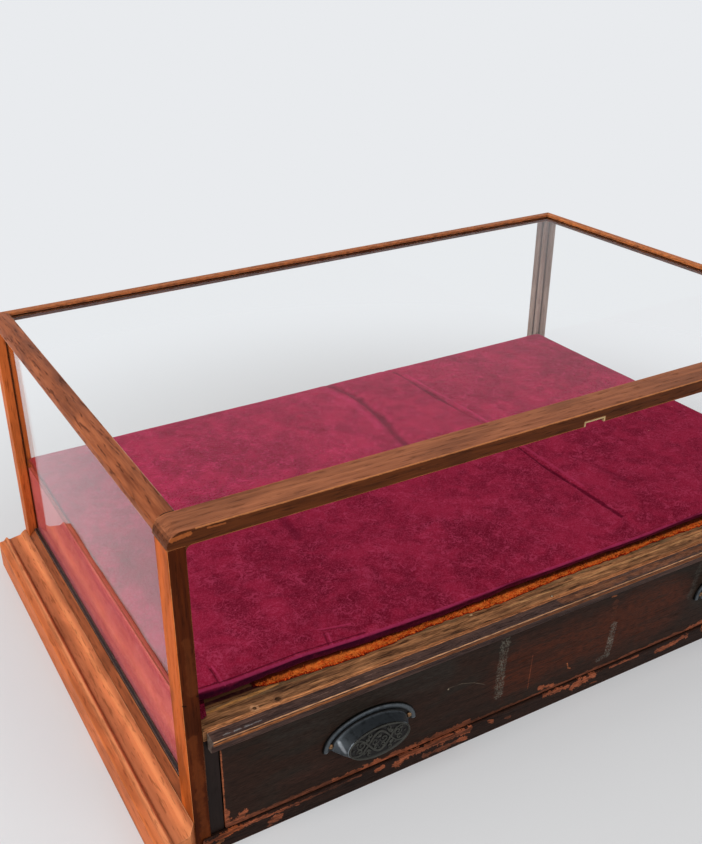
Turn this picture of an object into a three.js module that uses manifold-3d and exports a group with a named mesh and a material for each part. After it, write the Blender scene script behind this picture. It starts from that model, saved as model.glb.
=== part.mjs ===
// Counter-top haberdashery cabinet: a glazed display case over one wide drawer.
// Millimetres, +Z up, +X to the right along the front, the front faces -Y.
// The origin is on the table, at the middle of the object's plan.

import * as THREE from 'three';
import * as BufferGeometryUtils from 'three/addons/utils/BufferGeometryUtils.js';
import Module from 'manifold-3d';

// Driving dimensions of the case
const caseWidth = 914;
const caseDepth = 607;
const caseHeight = 374;

// Frame sections
const frontPostWidth = 16.9;
const frontPostDepth = 29.7;
const frontRailHeight = 15;
const frontRailDepth = 33.3;
const frameCornerRadius = 14.5;
const openingCornerRadius = 5;
const railWidth = 22.2;
const railHeight = 12;
const rearPostSize = 22.2;
const edgeBevel = 1;

// Steps in an outer corner's arc and in a small arc
const cornerSteps = 8;
const coveSteps = 4;

// Glass and the grooves that hold it
const glassThickness = 3;
const glassPlay = 0.3;
const glassInset = 12.5;
const topGlassDrop = 3.8;
const topGrooveDepth = 4.5;
const postGrooveDepth = 5;
const railGrooveDepth = 3.6;
const sillGrooveDepth = 5.5;

// Base: sills under the panes and the planted side mouldings
const sillWidth = 18;
const sillOuterHeight = 47.2;
const sillStripHeight = 52.5;
const sillRise = 8.3;
const sillInnerDrop = 1.5;
const stripInset = 8;
const stripHeight = 4.6;
const mouldingProjection = 39.4;
const mouldingHeight = 47.2;
const mouldingForward = 8.2;
const mouldingMitre = 7;

// Front of the base
const bottomRailHeight = 20.5;
const bottomRailProud = 2.7;
const bottomRailDepth = 19;
const bottomRailHorn = 10.4;
const bottomRailEdge = 2;
const stileSetback = 1.5;
const stileInnerFace = 31.5;

// Carcass and deck
const carcassThickness = 13;
const carcassBottomThickness = 8;
const carcassBottomHeight = 6;
const carcassBackThickness = 8;
const liningThickness = 2;
const deckTop = 154.5;
const deckThickness = 12;
const headRailHeight = 10.4;

// Clearance between neighbouring pieces, and how far a cut runs past a face
const jointGap = 0.3;
const overrun = 2;

// Ledge, nosing and plush strip
const ledgeDepth = 28;
const nosingProjection = 16;
const nosingDrop = 22;
const nosingLip = 7.3;
const nosingStep = 2.5;
const nosingCove = 5;
const nosingToe = 1.5;
const nosingEndInset = 20.8;
const plushThickness = 2.4;
const plushWidth = 18;
const plushStart = 95;

// Velvet pad: each crease is a place across and a start and an end from front to back
const padTop = 176;
const padCrown = 2.2;
const padSideInset = 16.7;
const padBodySetback = 50;
const padFrontSetback = 31;
const padFrontSkew = 5.5;
const padHemClearance = 7;
const padEdgeRadius = 6;
const padCreaseDepth = 1.3;
const padCreaseWidth = 12;
const padCreaseShares = [[0.305, 0.12, 0.42], [0.335, 0.6, 0.94], [0.018, 0.5, 0.95]];
const padTopSteps = 9;
const padHemSteps = 5;
const padSideSteps = 46;

// Drawer
const drawerFrontThickness = 18;
const drawerFrontSetback = 0.5;
const drawerSideGap = 1.3;
const drawerEdgeGap = 0.8;
const drawerSideThickness = 10;
const drawerSideDrop = 13.7;
const drawerBackThickness = 9;
const drawerBottomThickness = 5;
const drawerBottomRise = 12;
const drawerGroove = 5;
const runnerWidth = 22;
const kickerWidth = 20;
const kickerGap = 1.2;
const stopHeight = 22;
const stopLength = 21.4;
const stopGap = 0.5;

// Cup pull: its foot is a height above the drawer's lower edge, and the rest is above its foot
const pullPlaceShare = 0.5667;
const pullWidth = 112;
const pullHeight = 35;
const pullRise = 47.7;
const pullProjection = 22;
const flangeThickness = 2.6;
const flangeLip = 10;
const cupTaper = 9;
const cupWall = 2.2;
const cupDrop = 12;
const panelInset = 0.5;
const panelHeight = 39;
const panelRise = 6.5;
const panelThickness = 3;
const pullSegments = 40;
const pullScrewInset = 8.9;
const pullScrewRise = 6;
const pullScrewRadius = 3.1;
const pullScrewProud = 1.5;
const pullScrewSides = 14;

// Brass keep in the front top rail
const keepWidth = 27;
const keepHeight = 5.5;
const keepDepth = 7;
const keepWall = 1.5;
const keepClearance = 0.3;

// Values that follow from the sizes above
const halfWidth = caseWidth / 2;
const forwardReach = pullProjection - drawerFrontSetback;
const frontY = -(caseDepth - forwardReach) / 2;
const rearY = frontY + caseDepth;
const railBottom = caseHeight - railHeight;
const frontRailBottom = caseHeight - frontRailHeight;
const grooveWidth = glassThickness + 2 * glassPlay;
const groovePlace = glassInset - glassPlay;
const grooveFar = groovePlace + grooveWidth;
const glassFar = glassInset + glassThickness;
const topGlassTop = caseHeight - topGlassDrop;
const topGrooveTop = topGlassTop + glassPlay;
const topGrooveBottom = topGrooveTop - grooveWidth;
const sillTop = sillOuterHeight + sillRise;
const sillLipTop = sillTop - sillInnerDrop;
const grooveFloor = sillStripHeight - sillGrooveDepth;
const carcassOuter = sillWidth + jointGap;
const carcassInner = carcassOuter + carcassThickness;
const carcassFront = frontY + bottomRailDepth + jointGap;
const deckBottom = deckTop - deckThickness;
const carcassTop = deckBottom - jointGap;
const carcassRear = rearY - rearPostSize - jointGap;
const carcassBackFront = rearY - sillWidth - jointGap - carcassBackThickness;
const drawerFloor = bottomRailHeight + drawerEdgeGap;
const drawerTop = carcassTop - headRailHeight - drawerEdgeGap;
const drawerSideTop = drawerTop - drawerSideDrop;
const drawerFrontY = frontY + drawerFrontSetback;
const drawerBackOfFront = drawerFrontY + drawerFrontThickness;
const runnerRear = carcassBackFront - jointGap;
const stopFront = runnerRear - stopLength;
const drawerRear = stopFront - stopGap;
const pullCentre = halfWidth * pullPlaceShare;
const pullFoot = drawerFloor + pullRise;
const panelCentreHeight = pullFoot + panelRise;
const boardTop = carcassBottomHeight + carcassBottomThickness;
const padBottom = deckTop + jointGap;

// Finishes
const finish = (color, roughness, metalness = 0) =>
  new THREE.MeshStandardMaterial({ color, roughness, metalness });
const oakLight = () => finish(0xb8662b, 0.45);
const oakDark = () => finish(0x5a3420, 0.5);
const blackWood = () => finish(0x2a1d17, 0.45);
const weathered = () => finish(0x8a6b4c, 0.8);
const bareWood = () => finish(0xa97f52, 0.75);
const velvet = () => finish(0x7c1638, 0.9);
const plush = () => finish(0xd0591c, 0.95);
const iron = () => finish(0x2f3338, 0.4, 0.8);
const brass = () => finish(0xb08d4a, 0.35, 0.9);
const stripBlack = () => finish(0x17120f, 0.6);
const clearGlass = () => {
  const material = finish(0xdde8ea, 0.05);
  material.transparent = true;
  material.opacity = 0.3;
  return material;
};

const wasm = await Module();
wasm.setup();

const cabinet = new THREE.Group();

// Adds one named solid to the cabinet
function add(name, geometry, material) {
  const mesh = new THREE.Mesh(geometry, material);
  mesh.name = name;
  cabinet.add(mesh);
  return mesh;
}

// A block between two corners
function block(low, high) {
  const geometry = new THREE.BoxGeometry(high[0] - low[0], high[1] - low[1], high[2] - low[2]);
  geometry.translate((low[0] + high[0]) / 2, (low[1] + high[1]) / 2, (low[2] + high[2]) / 2);
  return geometry;
}

// An outline made from corner points
function outline(points) {
  return new THREE.Shape(points.map(([a, b]) => new THREE.Vector2(a, b)));
}

// Points along part of an ellipse, or of a circle when one radius is given
function arc(a, b, radius, from, to, steps, radiusB = radius) {
  const points = [];
  for (let i = 0; i <= steps; i += 1) {
    const angle = from + ((to - from) * i) / steps;
    points.push([a + radius * Math.cos(angle), b + radiusB * Math.sin(angle)]);
  }
  return points;
}

// Extrudes an outline drawn in X and Y upwards from z0 to z1
function risingPrism(shape, z0, z1) {
  const geometry = new THREE.ExtrudeGeometry(shape, { depth: z1 - z0, bevelEnabled: false });
  geometry.translate(0, 0, z0);
  return geometry;
}

// Extrudes an outline drawn in Y and Z along X from x0 to x1
function crossPrism(shape, x0, x1) {
  const geometry = new THREE.ExtrudeGeometry(shape, { depth: x1 - x0, bevelEnabled: false });
  const yAxis = new THREE.Vector3(0, 1, 0);
  const zAxis = new THREE.Vector3(0, 0, 1);
  const xAxis = new THREE.Vector3(1, 0, 0);
  geometry.applyMatrix4(new THREE.Matrix4().makeBasis(yAxis, zAxis, xAxis));
  geometry.translate(x0, 0, 0);
  return geometry;
}

// Extrudes an outline drawn in X and Z along Y from y0 to y1
function deepPrism(shape, y0, y1) {
  const geometry = new THREE.ExtrudeGeometry(shape, { depth: y1 - y0, bevelEnabled: false });
  const xAxis = new THREE.Vector3(1, 0, 0);
  const zAxis = new THREE.Vector3(0, 0, 1);
  const backwards = new THREE.Vector3(0, -1, 0);
  geometry.applyMatrix4(new THREE.Matrix4().makeBasis(xAxis, zAxis, backwards));
  geometry.translate(0, y1, 0);
  return geometry;
}

// Turns a closed mesh into a solid that can be joined and cut
function solid(geometry) {
  const bare = geometry.clone();
  bare.deleteAttribute('normal');
  bare.deleteAttribute('uv');
  const merged = BufferGeometryUtils.mergeVertices(bare);
  const vertProperties = new Float32Array(merged.attributes.position.array);
  const triVerts = new Uint32Array(merged.index.array);
  return new wasm.Manifold(new wasm.Mesh({ numProp: 3, vertProperties, triVerts }));
}

// Gives a solid back as a geometry with flat faces
function shell(body) {
  const mesh = body.getMesh();
  const geometry = new THREE.BufferGeometry();
  geometry.setAttribute('position', new THREE.BufferAttribute(mesh.vertProperties, mesh.numProp));
  geometry.setIndex(new THREE.BufferAttribute(mesh.triVerts, 1));
  const flat = geometry.toNonIndexed();
  flat.computeVertexNormals();
  return flat;
}

// Cuts a list of geometries from a geometry
function cut(geometry, tools) {
  return shell(tools.reduce((body, tool) => body.subtract(solid(tool)), solid(geometry)));
}

// Joins a list of geometries into one geometry
function join(geometries) {
  return shell(geometries.slice(1).reduce((body, next) => body.add(solid(next)), solid(geometries[0])));
}

// A point's X at a distance in from the outer face of one side (-1 left, 1 right)
const fromSide = (side, inset) => side * (halfWidth - inset);

// A box from one inset to another on one side
function sideBlock(side, inset0, inset1, y0, y1, z0, z1) {
  const a = fromSide(side, inset0);
  const b = fromSide(side, inset1);
  return block([Math.min(a, b), y0, z0], [Math.max(a, b), y1, z1]);
}

const sides = [['left', -1], ['right', 1]];

// Front frame: posts and the deep top rail with its rounded corners
function frontPost(side) {
  const points = [
    [fromSide(side, 0), frontY + edgeBevel],
    [fromSide(side, edgeBevel), frontY],
    [fromSide(side, frontPostWidth), frontY],
    [fromSide(side, frontPostWidth), frontY + frontPostDepth - postGrooveDepth],
    [fromSide(side, groovePlace), frontY + frontPostDepth - postGrooveDepth],
    [fromSide(side, groovePlace), frontY + frontPostDepth],
    [fromSide(side, 0), frontY + frontPostDepth],
  ];
  return risingPrism(outline(points), 0, frontRailBottom);
}

function frontTopRail() {
  const right = halfWidth - frameCornerRadius;
  const shoulder = caseHeight - frameCornerRadius;
  const inner = halfWidth - frontPostWidth;
  const cove = openingCornerRadius;
  const quarter = Math.PI / 2;
  const face = outline([
    [-halfWidth, frontRailBottom],
    [-inner, frontRailBottom],
    ...arc(-inner + cove, frontRailBottom - cove, cove, Math.PI, quarter, coveSteps),
    ...arc(inner - cove, frontRailBottom - cove, cove, quarter, 0, coveSteps),
    [inner, frontRailBottom],
    [halfWidth, frontRailBottom],
    ...arc(right, shoulder, frameCornerRadius, 0, quarter, cornerSteps),
    ...arc(-right, shoulder, frameCornerRadius, quarter, Math.PI, cornerSteps),
  ]);
  const body = deepPrism(face, frontY, frontY + frontRailDepth);
  const grooveReach = halfWidth - railWidth + topGrooveDepth;
  const back = frontY + frontRailDepth;
  const topGroove = block([-grooveReach, back - topGrooveDepth, topGrooveBottom],
    [grooveReach, back + overrun, topGrooveTop]);
  const paneGrooves = sides.map(([, side]) => sideBlock(side, groovePlace, grooveFar,
    frontY + frontPostDepth - postGrooveDepth, back + overrun,
    frontRailBottom - overrun, railBottom + railGrooveDepth));
  const keepReach = keepWidth / 2 + keepClearance;
  const mortise = block([-keepReach, frontY - overrun, frontRailBottom - overrun],
    [keepReach, frontY + keepDepth + keepClearance, frontRailBottom + keepHeight + keepClearance]);
  return cut(body, [topGroove, ...paneGrooves, mortise]);
}

// Section of the side and back top rails: u is the distance in from the outer face
function railSection(place) {
  const centre = caseHeight - frameCornerRadius;
  const start = Math.PI - Math.asin((railBottom - centre) / frameCornerRadius);
  return outline([
    ...arc(frameCornerRadius, centre, frameCornerRadius, start, Math.PI / 2, cornerSteps),
    [railWidth - edgeBevel, caseHeight],
    [railWidth, caseHeight - edgeBevel],
    [railWidth, topGrooveTop],
    [railWidth - topGrooveDepth, topGrooveTop],
    [railWidth - topGrooveDepth, topGrooveBottom],
    [railWidth, topGrooveBottom],
    [railWidth, railBottom],
    [grooveFar, railBottom],
    [grooveFar, railBottom + railGrooveDepth],
    [groovePlace, railBottom + railGrooveDepth],
    [groovePlace, railBottom],
  ].map(([u, v]) => [place(u), v]));
}

// Moves the vertices of an end so that two rails meet on the diagonal
function mitreEnds(geometry, atEnd, placeEnd) {
  const position = geometry.attributes.position;
  const point = new THREE.Vector3();
  for (let i = 0; i < position.count; i += 1) {
    point.fromBufferAttribute(position, i);
    if (atEnd(point)) {
      placeEnd(point);
      position.setXYZ(i, point.x, point.y, point.z);
    }
  }
  geometry.computeVertexNormals();
  return geometry;
}

function sideTopRail(side) {
  const y0 = frontY + frontRailDepth + jointGap;
  const geometry = deepPrism(railSection((u) => fromSide(side, u)), y0, rearY);
  return mitreEnds(geometry, (p) => p.y > y0 + railWidth, (p) => {
    p.y = rearY - (halfWidth - Math.abs(p.x)) - jointGap / 2;
  });
}

function backTopRail() {
  const geometry = crossPrism(railSection((u) => rearY - u), -halfWidth, halfWidth);
  return mitreEnds(geometry, () => true, (p) => {
    p.x = Math.sign(p.x) * (halfWidth - (rearY - p.y) - jointGap / 2);
  });
}

// Rear corner post with one groove for the side pane and one for the back pane
function rearPost(side) {
  const corner = (inset, back) => [fromSide(side, inset), rearY - back];
  const size = rearPostSize;
  const floor = size - postGrooveDepth;
  const points = [
    corner(0, edgeBevel),
    corner(0, size),
    corner(groovePlace, size),
    corner(groovePlace, floor),
    corner(grooveFar, floor),
    corner(grooveFar, size),
    corner(size, size),
    corner(size, grooveFar),
    corner(floor, grooveFar),
    corner(floor, groovePlace),
    corner(size, groovePlace),
    corner(size, 0),
    corner(edgeBevel, 0),
  ];
  return risingPrism(outline(points), 0, railBottom - jointGap);
}

// Sill section: u is the distance in from the outer face
function sillSection(place) {
  return outline([
    [0, 0],
    [0, sillOuterHeight],
    [stripInset, sillTop],
    [stripInset, sillStripHeight],
    [groovePlace, sillStripHeight],
    [groovePlace, grooveFloor],
    [grooveFar, grooveFloor],
    [grooveFar, sillLipTop],
    [sillWidth, sillLipTop],
    [sillWidth, 0],
  ].map(([u, v]) => [place(u), v]));
}

// Planted base moulding: each point is a distance out from the case side and a height,
// as shares of the projection and of the height
const mouldingProfileShares = [
  [0, 0], [0, 1], [0.025, 0.992], [0.127, 0.943], [0.216, 0.864], [0.305, 0.852], [0.482, 0.83],
  [0.599, 0.811], [0.647, 0.83], [0.69, 0.894], [0.726, 0.896], [0.787, 0.837], [0.825, 0.801],
  [0.964, 0.788], [1, 0.763], [1, 0],
];

function baseMoulding(side) {
  const profile = mouldingProfileShares.map(([out, up]) => [
    side * (halfWidth + jointGap + out * (mouldingProjection - jointGap)),
    up * mouldingHeight,
  ]);
  const body = deepPrism(outline(profile), frontY - mouldingForward, rearY);
  const nose = halfWidth + mouldingMitre;
  const tip = frontY - mouldingForward - overrun;
  const wedge = outline([
    [side * (halfWidth - overrun), frontY],
    [side * halfWidth, frontY],
    [side * nose, frontY - mouldingForward],
    [side * nose, tip],
    [side * (halfWidth - overrun), tip],
  ]);
  return cut(body, [risingPrism(wedge, -overrun, mouldingHeight + overrun)]);
}

// Rail under the drawer: it stands proud of the posts and its ends are mitred
function bottomRail() {
  const inner = halfWidth - frontPostWidth - jointGap;
  const horn = inner + bottomRailHorn;
  const face = frontY - bottomRailProud;
  const lap = frontY - jointGap;
  const plan = outline([
    [-horn, face],
    [horn, face],
    [horn - bottomRailProud, lap],
    [inner, lap],
    [inner, frontY + bottomRailDepth],
    [-inner, frontY + bottomRailDepth],
    [-inner, lap],
    [-horn + bottomRailProud, lap],
  ]);
  const body = risingPrism(plan, 0, bottomRailHeight);
  const arris = outline([
    [face - overrun, bottomRailHeight - bottomRailEdge],
    ...arc(face + bottomRailEdge, bottomRailHeight - bottomRailEdge, bottomRailEdge, Math.PI, Math.PI / 2,
      coveSteps),
    [face + bottomRailEdge, bottomRailHeight + overrun],
    [face - overrun, bottomRailHeight + overrun],
  ]);
  return cut(body, [crossPrism(arris, -horn - overrun, horn + overrun)]);
}

// Dark moulding in front of the ledge: a flat top, a small lip and a coved underside
function nosingPiece() {
  const front = frontY - nosingProjection;
  const foot = deckTop - nosingDrop;
  const coveFoot = foot + nosingToe;
  const coveTop = deckTop - nosingLip;
  const reach = halfWidth - nosingEndInset;
  const section = outline([
    [frontY, deckTop],
    [front + edgeBevel, deckTop - edgeBevel],
    [front, deckTop - edgeBevel * 2],
    [front, coveTop + edgeBevel],
    ...arc(front + nosingStep, coveFoot, nosingCove, Math.PI / 2, 0, coveSteps, coveTop - coveFoot),
    [frontY, foot],
  ]);
  return crossPrism(section, -reach, reach);
}

// Display pad: a crowned, velvet-covered bed whose front edge is rolled and stands over the plush
function velvetPad() {
  const reach = halfWidth - padSideInset;
  const rear = rearY - rearPostSize - jointGap;
  const body = frontY + padBodySetback;
  const hemFloor = padBottom + padHemClearance;
  const quarter = Math.PI / 2;
  const span = rear - body;
  const creaseAt = (x, y) => padCreaseShares.reduce((sum, [across, near, far]) => {
    const along = ((y - body) / span - near) / (far - near);
    const swell = along > 0 && along < 1 ? Math.sin(Math.PI * along) : 0;
    return sum + padCreaseDepth * swell * Math.exp(-(((x - across * reach) / padCreaseWidth) ** 2));
  }, 0);
  const section = (x) => {
    const turn = Math.max(0, 1 - (reach - Math.abs(x)) / padEdgeRadius);
    const edgeTop = padTop - padCrown - padEdgeRadius * (1 - Math.sqrt(1 - turn ** 2));
    const hem = frontY + padFrontSetback + (padFrontSkew * (reach - x)) / (2 * reach);
    const topFront = hem + padEdgeRadius;
    const topRear = rear - padEdgeRadius;
    const points = [[body, padBottom], [rear, padBottom]];
    points.push(...arc(topRear, edgeTop - padEdgeRadius, padEdgeRadius, 0, quarter, coveSteps));
    for (let i = padTopSteps - 1; i > 0; i -= 1) {
      const share = i / padTopSteps;
      const y = topFront + (topRear - topFront) * share;
      const crown = padCrown * (1 - (2 * share - 1) ** 4) * (1 - (x / reach) ** 4);
      points.push([y, edgeTop + crown - creaseAt(x, y)]);
    }
    const hemRadius = (edgeTop - hemFloor) / 2;
    points.push(...arc(topFront, hemFloor + hemRadius, padEdgeRadius, quarter, quarter * 3, padHemSteps,
      hemRadius));
    points.push([body, hemFloor]);
    return points.map(([y, z]) => [x, y, z]);
  };
  const stations = [];
  for (let i = 0; i < coveSteps; i += 1) {
    stations.push(-reach + padEdgeRadius * (1 - Math.cos((quarter * i) / coveSteps)));
  }
  for (let i = 0; i <= padSideSteps; i += 1) {
    stations.push((reach - padEdgeRadius) * ((2 * i) / padSideSteps - 1));
  }
  for (let i = coveSteps - 1; i >= 0; i -= 1) {
    stations.push(reach - padEdgeRadius * (1 - Math.cos((quarter * i) / coveSteps)));
  }
  return loft(stations.map(section), ([, y, z]) => [y, z]);
}

// Skins a row of closed rings and closes both ends. The rings turn anticlockwise in the plane
// that flatten gives, and that plane's normal points along the row.
function loft(rings, flatten) {
  const count = rings[0].length;
  const index = [];
  for (let r = 0; r < rings.length - 1; r += 1) {
    for (let i = 0; i < count; i += 1) {
      const a = r * count + i;
      const b = r * count + ((i + 1) % count);
      index.push(a, b, a + count, b, b + count, a + count);
    }
  }
  const lid = (ring) => THREE.ShapeUtils.triangulateShape(
    ring.map(flatten).map(([a, b]) => new THREE.Vector2(a, b)), [],
  );
  const last = (rings.length - 1) * count;
  lid(rings[0]).forEach(([a, b, c]) => index.push(a, c, b));
  lid(rings[rings.length - 1]).forEach((face) => index.push(...face.map((i) => last + i)));
  const geometry = new THREE.BufferGeometry();
  geometry.setAttribute('position', new THREE.Float32BufferAttribute(rings.flat(2), 3));
  geometry.setIndex(index);
  const flat = geometry.toNonIndexed();
  flat.computeVertexNormals();
  return flat;
}

// Cup pull: a half-oval flange, a tapering cup that is open below and an oval front panel
function ovalRing(centreX, foot, a, b, y) {
  return arc(centreX, foot, a, 0, Math.PI, pullSegments, b).map(([x, z]) => [x, y, z]);
}

function cupPull(side) {
  const cx = side * pullCentre;
  const back = drawerFrontY - jointGap;
  const face = drawerFrontY - pullProjection;
  const waist = (back * 2 + face) / 3;
  const cupA = pullWidth / 2 - flangeLip;
  const cupB = pullHeight - flangeLip;
  const lean = panelCentreHeight + panelHeight / 2 - pullFoot;
  const waistA = cupA - cupTaper / 3;
  const waistB = (cupB * 2 + lean) / 3;
  const rim = outline(arc(cx, pullFoot, pullWidth / 2, 0, Math.PI, pullSegments, pullHeight));
  const flange = deepPrism(rim, back - flangeThickness, back);
  const cup = loft([
    ovalRing(cx, pullFoot, cupA, cupB, back),
    ovalRing(cx, pullFoot, waistA, waistB, waist),
    ovalRing(cx, pullFoot, cupA - cupTaper, lean, face + panelThickness / 2),
  ], ([x, , z]) => [x, z]);
  const hollowFoot = pullFoot - cupDrop;
  const hollowRise = cupDrop - cupWall;
  const hollow = loft([
    ovalRing(cx, hollowFoot, cupA - cupWall, cupB + hollowRise, back + panelThickness),
    ovalRing(cx, hollowFoot, cupA - cupWall, cupB + hollowRise, back),
    ovalRing(cx, hollowFoot, waistA - cupWall, waistB + hollowRise, waist),
    ovalRing(cx, hollowFoot, cupA - cupTaper - cupWall, lean + hollowRise - cupWall, face + panelThickness),
  ], ([x, , z]) => [x, z]);
  const panelA = cupA - cupTaper - panelInset;
  const panelOutline = arc(cx, panelCentreHeight, panelA, 0, 2 * Math.PI, pullSegments,
    panelHeight / 2).slice(1);
  const panel = deepPrism(outline(panelOutline), face, face + panelThickness);
  const joined = solid(join([flange, cup])).subtract(solid(hollow)).add(solid(panel));
  const headRoom = pullScrewRadius + jointGap;
  const sinks = screwPlaces(cx).map(([x, z]) => block(
    [x - headRoom, back - flangeThickness * 2, z - headRoom],
    [x + headRoom, back - flangeThickness / 2, z + headRoom],
  ));
  return shell(sinks.reduce((body, sink) => body.subtract(solid(sink)), joined));
}

function screwPlaces(cx) {
  const reach = pullWidth / 2 - pullScrewInset;
  return [-1, 1].map((end) => [cx + end * reach, pullFoot + pullScrewRise]);
}

// A round-headed screw whose shank sits in the flange's sunk seat
function pullScrew(x, z) {
  const seat = drawerFrontY - jointGap - flangeThickness / 2 - jointGap;
  const profile = [
    [0, 0],
    [pullScrewRadius, 0],
    [pullScrewRadius, flangeThickness / 2],
    [pullScrewRadius / 2, flangeThickness / 2 + pullScrewProud],
    [0, flangeThickness / 2 + pullScrewProud],
  ];
  const head = new THREE.LatheGeometry(profile.map(([r, h]) => new THREE.Vector2(r, h)), pullScrewSides);
  head.rotateX(Math.PI);
  head.translate(x, seat, z);
  return head;
}

// Brass keep: a thin staple let into the lower front edge of the top rail
function keep() {
  const half = keepWidth / 2;
  const outer = block([-half, frontY, frontRailBottom],
    [half, frontY + keepDepth, frontRailBottom + keepHeight]);
  const slot = block([-half + keepWall, frontY - overrun, frontRailBottom - overrun],
    [half - keepWall, frontY + keepDepth - keepWall, frontRailBottom + keepHeight - keepWall]);
  return cut(outer, [slot]);
}

// Drawer box
const drawerOuter = halfWidth - carcassInner - drawerSideGap;
const drawerInner = drawerOuter - drawerSideThickness;
const bottomPlace = drawerFloor + drawerBottomRise;

function drawerSide(side) {
  const o = side * drawerOuter;
  const n = side * drawerInner;
  const g = side * (drawerInner + drawerGroove);
  const slotTop = bottomPlace + drawerBottomThickness + jointGap;
  const slotFoot = bottomPlace - jointGap;
  const section = outline([
    [o, drawerFloor],
    [o, drawerSideTop],
    [n, drawerSideTop],
    [n, slotTop],
    [g, slotTop],
    [g, slotFoot],
    [n, slotFoot],
    [n, drawerFloor],
  ]);
  return deepPrism(section, drawerBackOfFront + jointGap, drawerRear);
}

function drawerFront() {
  const reach = halfWidth - stileInnerFace - drawerSideGap;
  const body = block([-reach, drawerFrontY, drawerFloor], [reach, drawerBackOfFront, drawerTop]);
  const slot = drawerInner + drawerGroove;
  const groove = block([-slot, drawerBackOfFront - drawerGroove, bottomPlace - jointGap],
    [slot, drawerBackOfFront + overrun, bottomPlace + drawerBottomThickness + jointGap]);
  return cut(body, [groove]);
}

function drawerBottom() {
  const reach = drawerInner + drawerGroove - jointGap;
  return block([-reach, drawerBackOfFront - drawerGroove + jointGap, bottomPlace],
    [reach, drawerRear, bottomPlace + drawerBottomThickness]);
}

function drawerBack() {
  const foot = bottomPlace + drawerBottomThickness + jointGap;
  return block([-drawerInner + jointGap, drawerRear - drawerBackThickness, foot],
    [drawerInner - jointGap, drawerRear, drawerSideTop]);
}

// Frame
add('top_rail_front', frontTopRail(), oakDark());
add('top_rail_back', backTopRail(), oakLight());
sides.forEach(([label, side]) => {
  add(`front_post_${label}`, frontPost(side), oakLight());
  add(`rear_post_${label}`, rearPost(side), oakLight());
  add(`top_rail_${label}`, sideTopRail(side), oakLight());
});

// Panes
const topReach = halfWidth - railWidth + topGrooveDepth - glassPlay;
add('top_glass', block(
  [-topReach, frontY + frontRailDepth - topGrooveDepth + glassPlay, topGlassTop - glassThickness],
  [topReach, rearY - railWidth + topGrooveDepth - glassPlay, topGlassTop],
), clearGlass());
const paneFoot = grooveFloor + glassPlay;
const paneTop = railBottom + railGrooveDepth - glassPlay;
const backReach = halfWidth - rearPostSize + postGrooveDepth - glassPlay;
add('back_glass', block([-backReach, rearY - glassFar, paneFoot],
  [backReach, rearY - glassInset, paneTop]), clearGlass());
const paneFront = frontY + frontPostDepth - postGrooveDepth + glassPlay;
const paneRear = rearY - rearPostSize + postGrooveDepth - glassPlay;
sides.forEach(([label, side]) => {
  add(`side_glass_${label}`,
    sideBlock(side, glassInset, glassFar, paneFront, paneRear, paneFoot, paneTop), clearGlass());
});

// Base: sills, strips, planted mouldings
const sillFront = frontY + frontPostDepth + jointGap;
const sillRear = rearY - rearPostSize - jointGap;
const sillReach = halfWidth - rearPostSize - jointGap;
const stripFoot = sillStripHeight + jointGap;
add('base_rail_back', crossPrism(sillSection((u) => rearY - u), -sillReach, sillReach), oakDark());
add('glazing_strip_back', block(
  [-sillReach, rearY - groovePlace, stripFoot],
  [sillReach, rearY - stripInset - jointGap, stripFoot + stripHeight],
), stripBlack());
sides.forEach(([label, side]) => {
  const sill = sillSection((u) => fromSide(side, u));
  add(`base_rail_${label}`, deepPrism(sill, sillFront, sillRear), oakLight());
  add(`glazing_strip_${label}`, sideBlock(side, stripInset + jointGap, groovePlace,
    sillFront, sillRear, stripFoot, stripFoot + stripHeight), stripBlack());
  add(`base_moulding_${label}`, baseMoulding(side), oakLight());
});

// Front of the base
const stileBack = frontY + bottomRailDepth;
add('bottom_rail_front', bottomRail(), blackWood());
sides.forEach(([label, side]) => {
  add(`front_stile_${label}`, sideBlock(side, frontPostWidth + jointGap, stileInnerFace,
    frontY + stileSetback, stileBack, bottomRailHeight + jointGap, carcassTop), blackWood());
});
const headReach = halfWidth - stileInnerFace - jointGap;
add('drawer_head_rail', block([-headReach, frontY + jointGap, carcassTop - headRailHeight],
  [headReach, stileBack, carcassTop]), blackWood());

// Carcass
const boardReach = halfWidth - carcassInner - jointGap;
sides.forEach(([label, side]) => {
  add(`carcass_side_${label}`, sideBlock(side, carcassOuter, carcassInner,
    carcassFront, carcassRear, 0, carcassTop), bareWood());
  add(`side_lining_${label}`, sideBlock(side, glassFar + jointGap, glassFar + jointGap + liningThickness,
    sillFront, carcassRear, sillLipTop + jointGap, deckTop - jointGap), velvet());
});
add('carcass_back', block([-boardReach, carcassBackFront, 0],
  [boardReach, carcassBackFront + carcassBackThickness, carcassTop]), bareWood());
add('carcass_bottom', block([-boardReach, carcassFront, carcassBottomHeight],
  [boardReach, carcassBackFront - jointGap, boardTop]), bareWood());
add('back_lining', block([-sillReach, rearY - glassFar - jointGap - liningThickness, sillLipTop + jointGap],
  [sillReach, rearY - glassFar - jointGap, deckTop - jointGap]), velvet());

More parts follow.
